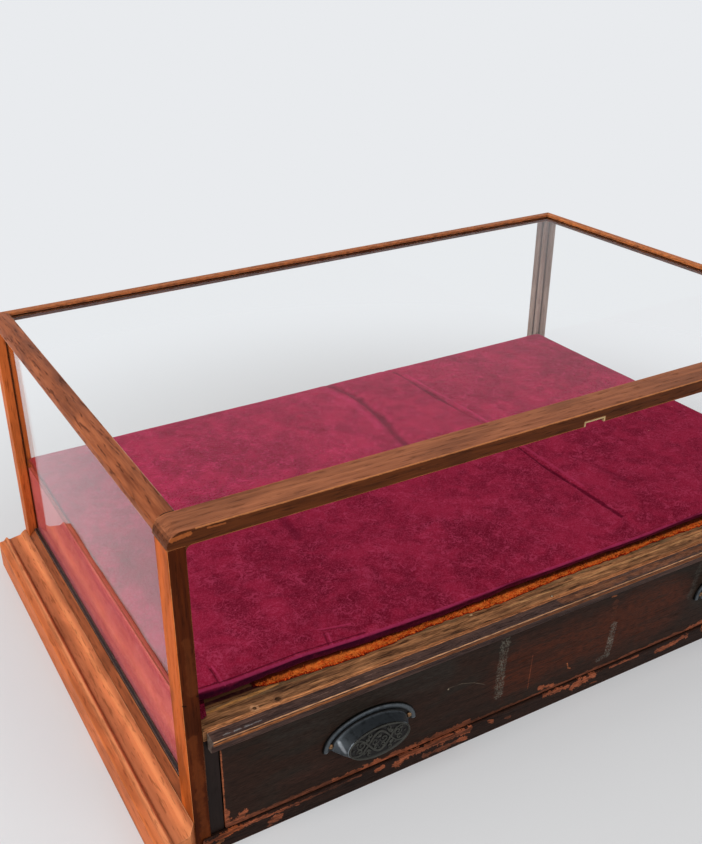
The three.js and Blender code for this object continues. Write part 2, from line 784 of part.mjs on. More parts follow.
// Deck, ledge, nosing, plush and pad
const ledgeFront = frontY + jointGap;
const ledgeRear = frontY + ledgeDepth;
const ledgeReach = halfWidth - frontPostWidth - jointGap;
add('ledge_board', block([-ledgeReach, ledgeFront, deckBottom],
  [ledgeReach, ledgeRear, deckTop]), weathered());
add('nosing', nosingPiece(), blackWood());
const deckReach = halfWidth - carcassOuter;
add('deck_board', block([-deckReach, ledgeRear + jointGap, deckBottom],
  [deckReach, carcassRear, deckTop]), bareWood());
const plushLow = deckTop + jointGap;
add('plush_strip', block([-halfWidth + plushStart, ledgeRear + jointGap, plushLow],
  [ledgeReach, ledgeRear + jointGap + plushWidth, plushLow + plushThickness]), plush());
add('velvet_pad', velvetPad(), velvet());

// Drawer
add('drawer_front', drawerFront(), blackWood());
sides.forEach(([label, side]) => {
  add(`drawer_side_${label}`, drawerSide(side), bareWood());
  add(`cup_pull_${label}`, cupPull(side), iron());
  screwPlaces(side * pullCentre).forEach(([x, z], i) => {
    add(`cup_pull_screw_${label}_${i + 1}`, pullScrew(x, z), brass());
  });
});
add('drawer_back', drawerBack(), bareWood());
add('drawer_bottom', drawerBottom(), bareWood());

// What the drawer runs on
const runnerOuter = carcassInner + jointGap;
const runnerTop = drawerFloor - jointGap;
sides.forEach(([label, side]) => {
  add(`drawer_runner_${label}`, sideBlock(side, runnerOuter, runnerOuter + runnerWidth,
    carcassFront, runnerRear, boardTop + jointGap, runnerTop), bareWood());
  add(`drawer_kicker_${label}`, sideBlock(side, runnerOuter, runnerOuter + kickerWidth,
    carcassFront, runnerRear, drawerSideTop + kickerGap, carcassTop), bareWood());
  add(`drawer_stop_${label}`, sideBlock(side, runnerOuter, runnerOuter + runnerWidth,
    stopFront, runnerRear, runnerTop + jointGap, runnerTop + jointGap + stopHeight), bareWood());
});

add('catch_keep', keep(), brass());

export default cabinet;
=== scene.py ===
"""Looks of a counter-top haberdashery cabinet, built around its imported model.

Sizes are in metres, +Z is up and the front faces -Y.
"""

import logging
import math
import random
from dataclasses import dataclass, replace
from enum import Enum
from functools import cached_property, wraps
from typing import Callable, Sequence, Union

import bmesh
import bpy
from mathutils import Matrix, Vector, noise
from mathutils.bvhtree import BVHTree


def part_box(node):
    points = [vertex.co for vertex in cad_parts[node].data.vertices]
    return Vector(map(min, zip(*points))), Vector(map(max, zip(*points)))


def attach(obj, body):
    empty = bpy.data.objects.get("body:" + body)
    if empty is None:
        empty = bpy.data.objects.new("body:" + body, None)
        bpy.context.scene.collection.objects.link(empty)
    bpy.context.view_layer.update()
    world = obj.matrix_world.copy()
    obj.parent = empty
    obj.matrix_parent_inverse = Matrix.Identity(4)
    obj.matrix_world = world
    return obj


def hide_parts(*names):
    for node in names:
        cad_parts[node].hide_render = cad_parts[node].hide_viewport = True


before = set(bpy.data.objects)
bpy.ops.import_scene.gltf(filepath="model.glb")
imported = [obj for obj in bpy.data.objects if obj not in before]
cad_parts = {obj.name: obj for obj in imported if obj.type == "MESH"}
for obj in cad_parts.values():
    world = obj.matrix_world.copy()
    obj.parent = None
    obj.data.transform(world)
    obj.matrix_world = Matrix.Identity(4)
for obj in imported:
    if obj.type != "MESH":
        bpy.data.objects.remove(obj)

LOG = logging.getLogger("cabinet")

Socket = bpy.types.NodeSocket
Colour = tuple[float, float, float, float]
Point = tuple[float, float, float]
Feed = Union[Socket, float, Sequence[float]]
Draw = Callable[["Graph", bpy.types.NodeOutputs], dict[str, Feed]]

VECTORS = ("Vector", "Start", "End", "Normal", "Direction")  # inputs that take a vector
HALF_WIDTH = 0.457  # half the width of the case without its mouldings


class Body(Enum):
    """The moving bodies of the cabinet."""

    CASE = "case"
    DRAWER = "drawer"


class Slot(Enum):
    """Names of material slots for the new pieces' finishes."""

    VELVET = "velvet"
    PLUSH = "plush"
    IRON = "pull_iron"
    BRASS = "brass"


class Side(Enum):
    """The two ends of the cabinet, with the sign of their place along X."""

    LEFT = -1
    RIGHT = 1

    @property
    def label(self) -> str:
        """The side's word in the nodes' names."""
        return self.name.lower()


class Grain(Enum):
    """The way a board's grain runs, as the order in which its axes are read."""

    ALONG_X = ("X", "Y", "Z")
    ALONG_Y = ("Y", "X", "Z")
    ALONG_Z = ("Z", "X", "Y")


def paint(red: float, green: float, blue: float) -> Colour:
    """Turns a display colour into the linear colour that shaders use.

    Args:
        red: red from 0 to 255.
        green: green from 0 to 255.
        blue: blue from 0 to 255.

    Returns:
        The linear colour with full alpha.
    """
    parts = []
    for part in (red, green, blue):
        share = part / 255
        parts.append(share / 12.92 if share <= 0.04045 else ((share + 0.055) / 1.055) ** 2.4)
    return (parts[0], parts[1], parts[2], 1.0)


class Graph:
    """Adds nodes to one node tree and links them."""

    def __init__(self, tree: bpy.types.NodeTree) -> None:
        """Keeps the tree that the nodes go into."""
        self.tree = tree

    def feed(self, socket: Socket, value: Feed) -> None:
        """Links a socket to another one, or sets its value.

        Args:
            socket: the input socket.
            value: an output socket, a number, a vector or a colour.
        """
        if isinstance(value, bpy.types.NodeSocket):
            self.tree.links.new(value, socket)
        else:
            socket.default_value = value

    def add(self, kind: str, feeds: dict | None = None, **settings: object) -> bpy.types.Node:
        """Adds a node.

        Args:
            kind: Blender's name for the node type.
            feeds: what goes into each input, by name or number.
            settings: the node's own settings.

        Returns:
            The new node.
        """
        node = self.tree.nodes.new(kind)
        for name, value in settings.items():
            setattr(node, name, value)
        for name, value in (feeds or {}).items():
            self.feed(node.inputs[name], value)
        return node

    def math(self, operation: str, *values: Feed, clamp: bool = False) -> Socket:
        """Adds a Math node and returns its result.

        Args:
            operation: the node's operation.
            values: its inputs in order.
            clamp: whether the result stays from 0 to 1.

        Returns:
            The output socket.
        """
        feeds = dict(enumerate(values))
        return self.add("ShaderNodeMath", feeds, operation=operation, use_clamp=clamp).outputs[0]

    def vector(self, operation: str, *values: Feed) -> Socket:
        """Adds a Vector Math node and returns its result.

        Args:
            operation: the node's operation.
            values: its inputs in order.

        Returns:
            The vector output, or the number for a dot product or a length.
        """
        node = self.add("ShaderNodeVectorMath", dict(enumerate(values)), operation=operation)
        return node.outputs[1 if operation in ("DOT_PRODUCT", "LENGTH") else 0]

    def mix(self, share: Feed, first: Feed, second: Feed) -> Socket:
        """Mixes two colours.

        Args:
            share: how much of the second colour shows, from 0 to 1.
            first: the colour where share is 0.
            second: the colour where share is 1.

        Returns:
            The mixed colour.
        """
        feeds = {0: share, 6: first, 7: second}
        return self.add("ShaderNodeMix", feeds, data_type="RGBA").outputs[2]

    def cover(self, colour: Feed, other: Feed, mask: Feed, strength: Feed) -> Socket:
        """Covers a colour with another one.

        Args:
            colour: the colour so far.
            other: the colour that goes over it.
            mask: where it goes, from 0 to 1.
            strength: how strongly it shows there.

        Returns:
            The new colour.
        """
        return self.mix(self.math("MULTIPLY", mask, strength), colour, other)

    def smooth(self, value: Feed, low: Feed, high: Feed) -> Socket:
        """Rises smoothly from 0 to 1 while a value goes from low to high.

        Args:
            value: the value read.
            low: where the result is 0.
            high: where the result is 1.

        Returns:
            The result.
        """
        feeds = {"Value": value, "From Min": low, "From Max": high}
        node = self.add("ShaderNodeMapRange", feeds, interpolation_type="SMOOTHSTEP")
        return node.outputs[0]

    def noise(self, vector: Feed, scale: Feed, detail: float = 2.0, twist: float = 0.0) -> Socket:
        """Adds a noise texture.

        Args:
            vector: where it is read.
            scale: how fine it is.
            detail: how many finer layers it has.
            twist: how far it is distorted.

        Returns:
            The noise's value, from 0 to 1.
        """
        feeds = {"Vector": vector, "Scale": scale, "Detail": detail, "Distortion": twist}
        return self.add("ShaderNodeTexNoise", feeds).outputs[0]

    def use(self, group: bpy.types.NodeTree, **feeds: Feed) -> bpy.types.NodeOutputs:
        """Places a shared node group.

        Args:
            group: the group.
            feeds: what goes into its inputs, by name.

        Returns:
            The group's outputs.
        """
        node = self.add("ShaderNodeGroup", node_tree=group)
        for name, value in feeds.items():
            self.feed(node.inputs[name], value)
        return node.outputs


def shared(takes: str, gives: str) -> Callable[[Draw], Callable[[], bpy.types.NodeTree]]:
    """Makes a shared node group of a function that writes its nodes.

    Args:
        takes: the names of the group's inputs.
        gives: the names of its outputs.

    Returns:
        What puts a function in the first one's place that builds the group, or finds it.
    """

    def wrap(draw: Draw) -> Callable[[], bpy.types.NodeTree]:
        """Names the group after the function that draws it."""
        name = draw.__name__

        @wraps(draw)
        def group() -> bpy.types.NodeTree:
            """Builds the group, or finds it if it is built already."""
            found = bpy.data.node_groups.get(name)
            if found:
                return found
            tree = bpy.data.node_groups.new(name, "ShaderNodeTree")
            for labels, way in ((takes, "INPUT"), (gives, "OUTPUT")):
                for label in labels.split():
                    kind = "NodeSocketVector" if label in VECTORS else "NodeSocketFloat"
                    tree.interface.new_socket(name=label, in_out=way, socket_type=kind)
            graph = Graph(tree)
            source = graph.add("NodeGroupInput").outputs
            sink = graph.add("NodeGroupOutput").inputs
            for label, value in draw(graph, source).items():
                graph.feed(sink[label], value)
            return tree

        return group

    return wrap


@shared("Vector Growth Contrast", "Tone Pores Height")
def wood_grain(graph: Graph, source: bpy.types.NodeOutputs) -> dict[str, Feed]:
    """Growth bands, fibres and open pores of a board whose grain runs along its first axis."""
    spot = source["Vector"]
    sway = graph.noise(graph.vector("MULTIPLY", spot, (2.2, 14, 14)), 1.0, 2.0)
    across = graph.vector("DOT_PRODUCT", spot, (0.04, 1.0, 0.62))
    wander = graph.math("MULTIPLY", graph.math("SUBTRACT", sway, 0.5), 0.034)
    turns = graph.math("MULTIPLY", graph.math("ADD", across, wander), source["Growth"])
    bands = graph.math("SINE", graph.math("MULTIPLY", turns, math.tau))
    bands = graph.math("POWER", graph.math("MULTIPLY_ADD", bands, 0.5, 0.5), 1.6)
    broad = graph.noise(graph.vector("MULTIPLY", spot, (5, 30, 30)), 1.0, 4.0)
    fibre = graph.noise(graph.vector("MULTIPLY", spot, (34, 620, 620)), 1.0, 3.0)
    streak = graph.noise(graph.vector("MULTIPLY", spot, (18, 210, 210)), 1.0, 3.0)
    parts = ((bands, 0.24), (broad, 1.15), (fibre, 1.25), (streak, 1.0))
    tone: Feed = -0.5 * sum(weight for _, weight in parts)
    for part, weight in parts:
        tone = graph.math("MULTIPLY_ADD", part, weight, tone)
    tone = graph.math("MULTIPLY_ADD", tone, source["Contrast"], 0.5, clamp=True)
    dashes = graph.noise(graph.vector("MULTIPLY", spot, (52, 520, 520)), 1.0, 2.0)
    pores = graph.smooth(graph.math("MULTIPLY_ADD", bands, -0.1, dashes), 0.54, 0.64)
    height = graph.math("MULTIPLY_ADD", pores, -0.7, fibre)
    return {"Tone": tone, "Pores": pores, "Height": height}


@shared("Vector Radius Scale Spread Softness", "Mask")
def edge_chips(graph: Graph, source: bpy.types.NodeOutputs) -> dict[str, Feed]:
    """Where a finish has worn or chipped off, first at the arrises and then beside them."""
    rounded = graph.add("ShaderNodeBevel", {"Radius": source["Radius"]}, samples=6)
    flat = graph.add("ShaderNodeNewGeometry").outputs["True Normal"]
    turn = graph.vector("DOT_PRODUCT", rounded.outputs[0], flat)
    edge = graph.smooth(graph.math("SUBTRACT", 1.0, turn), 0.0, 0.24)
    ragged = graph.noise(source["Vector"], source["Scale"], 4.0, 0.6)
    sum_up = graph.math("MULTIPLY_ADD", edge, 0.42, ragged)
    low = graph.math("SUBTRACT", 1.0, source["Spread"])
    return {"Mask": graph.smooth(sum_up, low, graph.math("ADD", low, source["Softness"]))}


@shared("Vector Scale Reach", "Patches Corners")
def grime(graph: Graph, source: bpy.types.NodeOutputs) -> dict[str, Feed]:
    """Old dirt in loose patches, and painted shade: a dark line in the corners where pieces meet,
    from ambient occlusion.
    """
    cloud = graph.noise(source["Vector"], source["Scale"], 5.0, 0.4)
    # Painted shade: ambient occlusion darkens the corners.
    occlusion = graph.add(
        "ShaderNodeAmbientOcclusion", {"Distance": source["Reach"]}, samples=6
    )
    return {
        "Patches": graph.smooth(cloud, 0.44, 0.68),
        "Corners": graph.smooth(occlusion.outputs["AO"], 0.72, 0.2),
    }


@shared("Vector Scale Size Rarity", "Mask")
def specks(graph: Graph, source: bpy.types.NodeOutputs) -> dict[str, Feed]:
    """Scattered small dots, such as lint or flecks of dust."""
    cells = graph.add(
        "ShaderNodeTexVoronoi", {"Vector": source["Vector"], "Scale": source["Scale"]}
    )
    near = graph.smooth(cells.outputs["Distance"], source["Size"], 0.0)
    chance = graph.vector("DOT_PRODUCT", cells.outputs["Color"], (1.0, 0.0, 0.0))
    kept = graph.math("GREATER_THAN", chance, source["Rarity"])
    return {"Mask": graph.math("MULTIPLY", near, kept)}


@shared("Vector Start End Width Ragged Scale Soft Grain", "Mask")
def stroke_mark(graph: Graph, source: bpy.types.NodeOutputs) -> dict[str, Feed]:
    """A mark with ragged edges along the line between two points."""
    line = graph.vector("SUBTRACT", source["End"], source["Start"])
    reach = graph.vector("SUBTRACT", source["Vector"], source["Start"])
    size = graph.math("ADD", graph.vector("DOT_PRODUCT", line, line), 1e-9)
    share = graph.math("DIVIDE", graph.vector("DOT_PRODUCT", reach, line), size, clamp=True)
    foot = graph.add("ShaderNodeVectorMath", {0: line, "Scale": share}, operation="SCALE")
    gap = graph.vector("LENGTH", graph.vector("SUBTRACT", reach, foot.outputs[0]))
    rough = graph.noise(source["Vector"], source["Scale"], 4.0)
    finer = graph.noise(source["Vector"], graph.math("MULTIPLY", source["Scale"], 3.7), 3.0)
    rough = graph.math("MULTIPLY_ADD", finer, 0.55, rough)
    shake = graph.math("MULTIPLY", graph.math("SUBTRACT", rough, 0.775), source["Ragged"])
    gap = graph.math("ADD", graph.math("DIVIDE", gap, source["Width"]), shake)
    body = graph.smooth(gap, 1.0, graph.math("SUBTRACT", 1.0, source["Soft"]))
    grit = graph.smooth(graph.noise(source["Vector"], 700.0, 2.0), 0.45, 0.56)
    loss = graph.math("MULTIPLY", graph.math("SUBTRACT", 1.0, grit), source["Grain"])
    patchy = graph.noise(source["Vector"], 150.0, 3.0)
    body = graph.math("MULTIPLY", body, graph.math("MULTIPLY_ADD", patchy, 1.3, 0.3, clamp=True))
    return {"Mask": graph.math("MULTIPLY", body, graph.math("SUBTRACT", 1.0, loss))}


@shared("Normal Direction", "Mask")
def facing(graph: Graph, source: bpy.types.NodeOutputs) -> dict[str, Feed]:
    """Picks out the faces that point one way."""
    turn = graph.vector("DOT_PRODUCT", source["Normal"], source["Direction"])
    return {"Mask": graph.smooth(turn, 0.45, 0.85)}


@shared("Vector", "Cloud Curl Fibre Height")
def velvet_nap(graph: Graph, source: bpy.types.NodeOutputs) -> dict[str, Feed]:
    """Crushed pile: cloudy patches, short curled fibres and their height."""
    spot = source["Vector"]
    wide = graph.noise(spot, 11.0, 4.0, 0.5)
    patch = graph.noise(spot, 46.0, 4.0, 0.8)
    cloud = graph.math("MULTIPLY_ADD", wide, 0.6, graph.math("MULTIPLY", patch, 0.5))
    bend = graph.noise(spot, 84.0, 1.0, 1.6)
    thread = graph.smooth(graph.math("ABSOLUTE", graph.math("SUBTRACT", bend, 0.5)), 0.06, 0.01)
    broken = graph.smooth(graph.noise(spot, 60.0, 2.0), 0.44, 0.6)
    tufts = graph.noise(spot, 270.0, 2.0, 2.2)
    fibre = graph.noise(spot, 620.0, 2.0, 1.0)
    pile = graph.math("MULTIPLY_ADD", tufts, 0.6, graph.math("MULTIPLY", fibre, 0.4))
    return {
        "Cloud": graph.smooth(cloud, 0.4, 0.7),
        "Curl": graph.math("MULTIPLY", thread, broken),
        "Fibre": graph.smooth(pile, 0.42, 0.66),
        "Height": pile,
    }


@dataclass(frozen=True)
class Surface:
    """The start of one material.

    Attributes:
        material: the material.
        graph: its graph.
        shader: its Principled shader.
        spot: the point in the model's own axes.
        along: the point with the grain's axis first, shifted a little for each piece.
        normal: the way the surface faces.
    """

    material: bpy.types.Material
    graph: Graph
    shader: bpy.types.Node
    spot: Socket
    along: Socket
    normal: Socket

    def relief(self, height: Feed, depth: float) -> None:
        """Gives the surface a relief.

        Args:
            height: the height, from 0 to 1.
            depth: how deep that is, in metres.
        """
        feeds = {"Height": height, "Distance": depth, "Strength": 1.0}
        bump = self.graph.add("ShaderNodeBump", feeds)
        self.graph.feed(self.shader.inputs["Normal"], bump.outputs[0])


def open_surface(name: str, grain: Grain = Grain.ALONG_X, **values: Feed) -> Surface:
    """Starts a material.

    Args:
        name: the material's name.
        grain: the way its grain runs.
        values: plain values of the shader's sockets, with _ for a space.

    Returns:
        The material with what its nodes need.
    """
    material = bpy.data.materials.new(name)
    material.use_nodes = True
    material.node_tree.nodes.clear()
    graph = Graph(material.node_tree)
    output = graph.add("ShaderNodeOutputMaterial")
    shader = graph.add("ShaderNodeBsdfPrincipled")
    for key, value in values.items():
        shader.inputs[key.replace("_", " ")].default_value = value
    graph.feed(output.inputs["Surface"], shader.outputs[0])
    place = graph.add("ShaderNodeTexCoord")
    chance = graph.add("ShaderNodeObjectInfo").outputs["Random"]
    split = graph.add("ShaderNodeSeparateXYZ", {0: place.outputs["Object"]})
    turned = graph.add(
        "ShaderNodeCombineXYZ", {i: split.outputs[axis] for i, axis in enumerate(grain.value)}
    )
    shift = graph.add("ShaderNodeCombineXYZ", {i: chance for i in range(3)})
    along = graph.vector("ADD", turned.outputs[0], shift.outputs[0])
    return Surface(
        material, graph, shader, place.outputs["Object"], along, place.outputs["Normal"]
    )


@dataclass(frozen=True)
class Finish:
    """A finish, whose material is built once and shared.

    Attributes:
        name: the material's name.
    """

    name: str

    def material(self) -> bpy.types.Material:
        """Builds the material, or finds it if it is built already."""
        return bpy.data.materials.get(self.name) or self.build()

    def build(self) -> bpy.types.Material:
        """Builds the material; each kind of finish does so in its own way."""
        raise NotImplementedError


@dataclass(frozen=True)
class WoodTone:
    """Colours of stained wood: its lighter and darker bands and its pores."""

    light: Colour
    dark: Colour
    pores: Colour


@dataclass(frozen=True)
class FaceTone:
    """A tone for the faces that point one way."""

    points: Point
    tone: WoodTone


@dataclass(frozen=True)
class Stroke:
    """A mark on a surface, from one point to another.

    Attributes:
        start: one end.
        end: the other end.
        width: half its width.
        colour: its colour.
        strength: how strongly it shows.
        ragged: how far its edges stray, as a share of the width.
        scale: how fine they are.
        soft: how gradually they end.
        grain: how far specks of the ground show through it.
    """

    start: Point
    end: Point
    width: float
    colour: Colour
    strength: float = 1.0
    ragged: float = 0.8
    scale: float = 260.0
    soft: float = 0.28
    grain: float = 0.0


def marked(
    surface: Surface, colour: Socket, strokes: Sequence[Stroke], spot: Feed | None = None
) -> Socket:
    """Draws marks in fixed places.

    Args:
        surface: the material.
        colour: the colour so far.
        strokes: the marks.
        spot: the places that they are measured in, if not the object's own.

    Returns:
        The colour with the marks.
    """
    graph = surface.graph
    for mark in strokes:
        mask = graph.use(
            stroke_mark(), Vector=spot or surface.spot, Start=mark.start, End=mark.end,
            Width=mark.width, Ragged=mark.ragged, Scale=mark.scale, Soft=mark.soft,
            Grain=mark.grain,
        )[0]
        colour = graph.cover(colour, mark.colour, mask, mark.strength)
    return colour


@dataclass(frozen=True)
class WoodFinish(Finish):
    """A stained and worn wooden surface.

    Attributes:
        grain: the way the grain runs.
        tone: its colours.
        faces: other colours for the faces that point one way.
        strokes: marks in fixed places.
        growth: growth bands in a metre.
        contrast: how far the bands' colours differ.
        pore_depth: how dark the pores are.
        worn: the colour where the finish has worn off.
        wear: how strongly the wear shows.
        wear_width: how wide the worn arrises are.
        spread: how far wear has spread from the arrises.
        wear_softness: how gradually it ends.
        wear_scale: how fine the worn patches are.
        dirt: the colour of the dirt, also used for the painted shade in the corners.
        dirt_patches: how strongly loose dirt shows.
        dirt_corners: how strongly painted shade, in the dirt's colour, darkens the corners.
        roughness: the surface's roughness.
        shine: how strongly it reflects.
        coat: how much varnish is left on it.
        depth: the depth of the grain's relief.
        veins: how far dark grain and fine lines show through the marks.
    """

    grain: Grain
    tone: WoodTone
    faces: tuple[FaceTone, ...] = ()
    strokes: tuple[Stroke, ...] = ()
    growth: float = 120.0
    contrast: float = 0.65
    pore_depth: float = 0.45
    worn: Colour = paint(206, 128, 78)
    wear: float = 0.8
    wear_width: float = 0.0022
    spread: float = 0.22
    wear_softness: float = 0.12
    wear_scale: float = 60.0
    dirt: Colour = paint(38, 20, 12)
    dirt_patches: float = 0.3
    dirt_corners: float = 0.75
    roughness: float = 0.42
    shine: float = 0.04
    coat: float = 0.02
    depth: float = 0.00022
    veins: float = 0.0

    def tones(self, surface: Surface) -> tuple[Feed, Feed, Feed]:
        """Picks the tone of each face.

        Args:
            surface: the material.

        Returns:
            The light, dark and pore colours.
        """
        parts: list[Feed] = [self.tone.light, self.tone.dark, self.tone.pores]
        for face in self.faces:
            mask = surface.graph.use(facing(), Normal=surface.normal, Direction=face.points)[0]
            others = (face.tone.light, face.tone.dark, face.tone.pores)
            parts = [surface.graph.mix(mask, old, new) for old, new in zip(parts, others)]
        return parts[0], parts[1], parts[2]

    def bands(self, surface: Surface, colour: Socket) -> Socket:
        """Leaves the colour as it is; a moulding has bands of its own."""
        return colour

    def build(self) -> bpy.types.Material:
        """Builds the finish.

        Returns:
            The material.
        """
        surface = open_surface(
            self.name, self.grain, Coat_Weight=self.coat, Coat_Roughness=0.28,
            Specular_IOR_Level=self.shine,
        )
        graph = surface.graph
        light, dark, pores = self.tones(surface)
        grain = graph.use(
            wood_grain(), Vector=surface.along, Growth=self.growth, Contrast=self.contrast
        )
        colour = graph.mix(grain["Tone"], dark, light)
        colour = self.bands(surface, colour)
        colour = graph.cover(colour, pores, grain["Pores"], self.pore_depth)
        flow = graph.vector("MULTIPLY", surface.along, (0.35, 1.0, 1.0))
        dirt_and_shade = graph.use(grime(), Vector=flow, Scale=34.0, Reach=0.007)
        colour = graph.cover(colour, self.dirt, dirt_and_shade["Patches"], self.dirt_patches)
        chips = graph.use(
            edge_chips(), Vector=flow, Radius=self.wear_width, Scale=self.wear_scale,
            Spread=self.spread, Softness=self.wear_softness,
        )
        bare = graph.math("MULTIPLY", chips["Mask"], self.wear)
        colour = graph.mix(bare, colour, self.worn)
        # Painted shade: ambient occlusion darkens the corners in the dirt's colour.
        colour = graph.cover(colour, self.dirt, dirt_and_shade["Corners"], self.dirt_corners)
        plain = colour
        colour = marked(surface, colour, self.strokes)
        if self.veins:
            lines = graph.vector("MULTIPLY", surface.along, (110, 1300, 1300))
            fine = graph.noise(lines, 1.0, 3.0)
            dark_lines = graph.math(
                "MAXIMUM", graph.smooth(grain["Tone"], 0.56, 0.26), graph.smooth(fine, 0.47, 0.34)
            )
            colour = graph.cover(colour, plain, dark_lines, self.veins)
            gain = {0: colour, "Scale": graph.math("MULTIPLY_ADD", fine, 2.4, -0.2)}
            colour = graph.add("ShaderNodeVectorMath", gain, operation="SCALE").outputs[0]
        graph.feed(surface.shader.inputs["Base Color"], colour)
        dull = graph.math("MULTIPLY_ADD", bare, 0.25, self.roughness)
        dull = graph.math("MULTIPLY_ADD", grain["Pores"], 0.18, dull)
        graph.feed(surface.shader.inputs["Roughness"], dull)
        height = graph.math("MULTIPLY_ADD", chips["Mask"], -0.8, grain["Height"])
        surface.relief(height, self.depth)
        return surface.material


@dataclass(frozen=True)
class MouldingFinish(WoodFinish):
    """Wood tinted band by band across a moulding: partly its stain, partly painted shade and
    highlights of the profile.

    Attributes:
        inner: how far out from the middle of the cabinet the bands start.
        outer: how far out they end.
        stops: places from 0 to 1 across the moulding and their tints, which hold painted shade in
            the groove and painted highlights on the rounds as well as the stain.
    """

    inner: float = HALF_WIDTH
    outer: float = 0.4964
    stops: tuple[tuple[float, Colour], ...] = ()

    def bands(self, surface: Surface, colour: Socket) -> Socket:
        """Tints the bands.

        Args:
            surface: the material.
            colour: the wood's colour.

        Returns:
            The tinted colour.
        """
        graph = surface.graph
        split = graph.add("ShaderNodeSeparateXYZ", {0: surface.spot})
        out = graph.math("ABSOLUTE", split.outputs[0])
        sway = graph.noise(graph.vector("MULTIPLY", surface.along, (9, 90, 90)), 1.0, 2.0)
        out = graph.math("MULTIPLY_ADD", graph.math("SUBTRACT", sway, 0.5), 0.004, out)
        span = {"Value": out, "From Min": self.inner, "From Max": self.outer}
        share = graph.add("ShaderNodeMapRange", span).outputs[0]
        # The ramp's tints are partly the stain and partly painted light: shade in the profile's
        # groove and highlights on its rounds.
        ramp = graph.add("ShaderNodeValToRGB", {"Fac": share})
        points = ramp.color_ramp.elements
        while len(points) < len(self.stops):
            points.new(0.5)
        for point, (place, tint) in zip(points, self.stops):
            point.position = place
            point.color = tint
        return graph.mix(0.62, colour, ramp.outputs[0])


@dataclass(frozen=True)
class VelvetFinish(Finish):
    """Crimson velvet with flattened patches, curled fibres and lint, painted shade and highlights
    at its creases and hem, and painted light towards the back.

    Attributes:
        deep: its colour where the pile is flattened.
        middle: its usual colour.
        bright: the colour of raised fibres.
        front: its colour where it faces forwards.
        strokes: marks on the top, measured across and from front to back only: painted shade in the
            creases and painted highlights beside them.
        edges: marks anywhere, in whole coordinates: painted shade on the hem and a painted
            highlight along its fold.
        lint: how strongly the lint shows.
        sunned: how much painted light brightens its red behind the top pane and at the left end.
        tucked: the colour of the painted shade where it is folded in and under the hem.
    """

    deep: Colour
    middle: Colour
    bright: Colour
    front: Colour
    strokes: tuple[Stroke, ...] = ()
    edges: tuple[Stroke, ...] = ()
    lint: float = 1.0
    sunned: float = 0.0
    tucked: Colour = paint(34, 3, 12)

    def faded(self, surface: Surface, colour: Socket) -> Socket:
        """Paints light onto the velvet: brightens its red behind the top pane and at the left end.

        Args:
            surface: the material.
            colour: the colour so far.

        Returns:
            The colour with its brighter parts.
        """
        graph = surface.graph
        across, back, _ = graph.add("ShaderNodeSeparateXYZ", {0: surface.spot}).outputs
        end = graph.math(
            "MULTIPLY", graph.smooth(across, -0.404, -0.428), graph.smooth(back, -0.24, -0.16)
        )
        share = graph.math("MAXIMUM", graph.smooth(back, -0.05, 0.07), end)
        calm = graph.mix(0.12, colour, self.middle)
        more = graph.vector("MULTIPLY", calm, (1 + self.sunned, 1.0, 1 + self.sunned))
        return graph.mix(share, colour, more)

    def build(self) -> bpy.types.Material:
        """Builds the finish.

        Returns:
            The material.
        """
        surface = open_surface(
            self.name, Roughness=0.9, Sheen_Weight=0.2, Sheen_Roughness=0.45,
            Sheen_Tint=paint(255, 84, 132), Specular_IOR_Level=0.02,
        )
        graph = surface.graph
        nap = graph.use(velvet_nap(), Vector=surface.spot)
        colour = graph.mix(nap["Cloud"], self.deep, self.middle)
        colour = graph.cover(colour, self.bright, nap["Fibre"], 0.42)
        colour = graph.cover(colour, self.bright, nap["Curl"], 0.45)
        front = graph.use(facing(), Normal=surface.normal, Direction=(0.0, -1.0, 0.0))[0]
        colour = graph.cover(colour, self.front, front, 0.75)
        flat = graph.vector("MULTIPLY", surface.spot, (1.0, 1.0, 0.0))
        # Painted shade in the creases and painted highlights beside them.
        colour = marked(surface, colour, self.strokes, flat)
        # Painted shade on the hem and a painted highlight along its fold.
        colour = marked(surface, colour, self.edges)
        if self.sunned:
            # Painted light: a brighter red behind the top pane and at the left end.
            colour = self.faded(surface, colour)
            # Painted shade in the folds and under the hem, from ambient occlusion.
            fold_shade = graph.use(grime(), Vector=surface.spot, Scale=34.0, Reach=0.009)["Corners"]
            colour = graph.cover(colour, self.tucked, fold_shade, 0.85)
        flecks = graph.use(specks(), Vector=surface.spot, Scale=34.0, Size=0.045, Rarity=0.86)[0]
        colour = graph.cover(colour, paint(222, 150, 140), flecks, self.lint)
        graph.feed(surface.shader.inputs["Base Color"], colour)
        surface.relief(nap["Height"], 0.0009)
        return surface.material


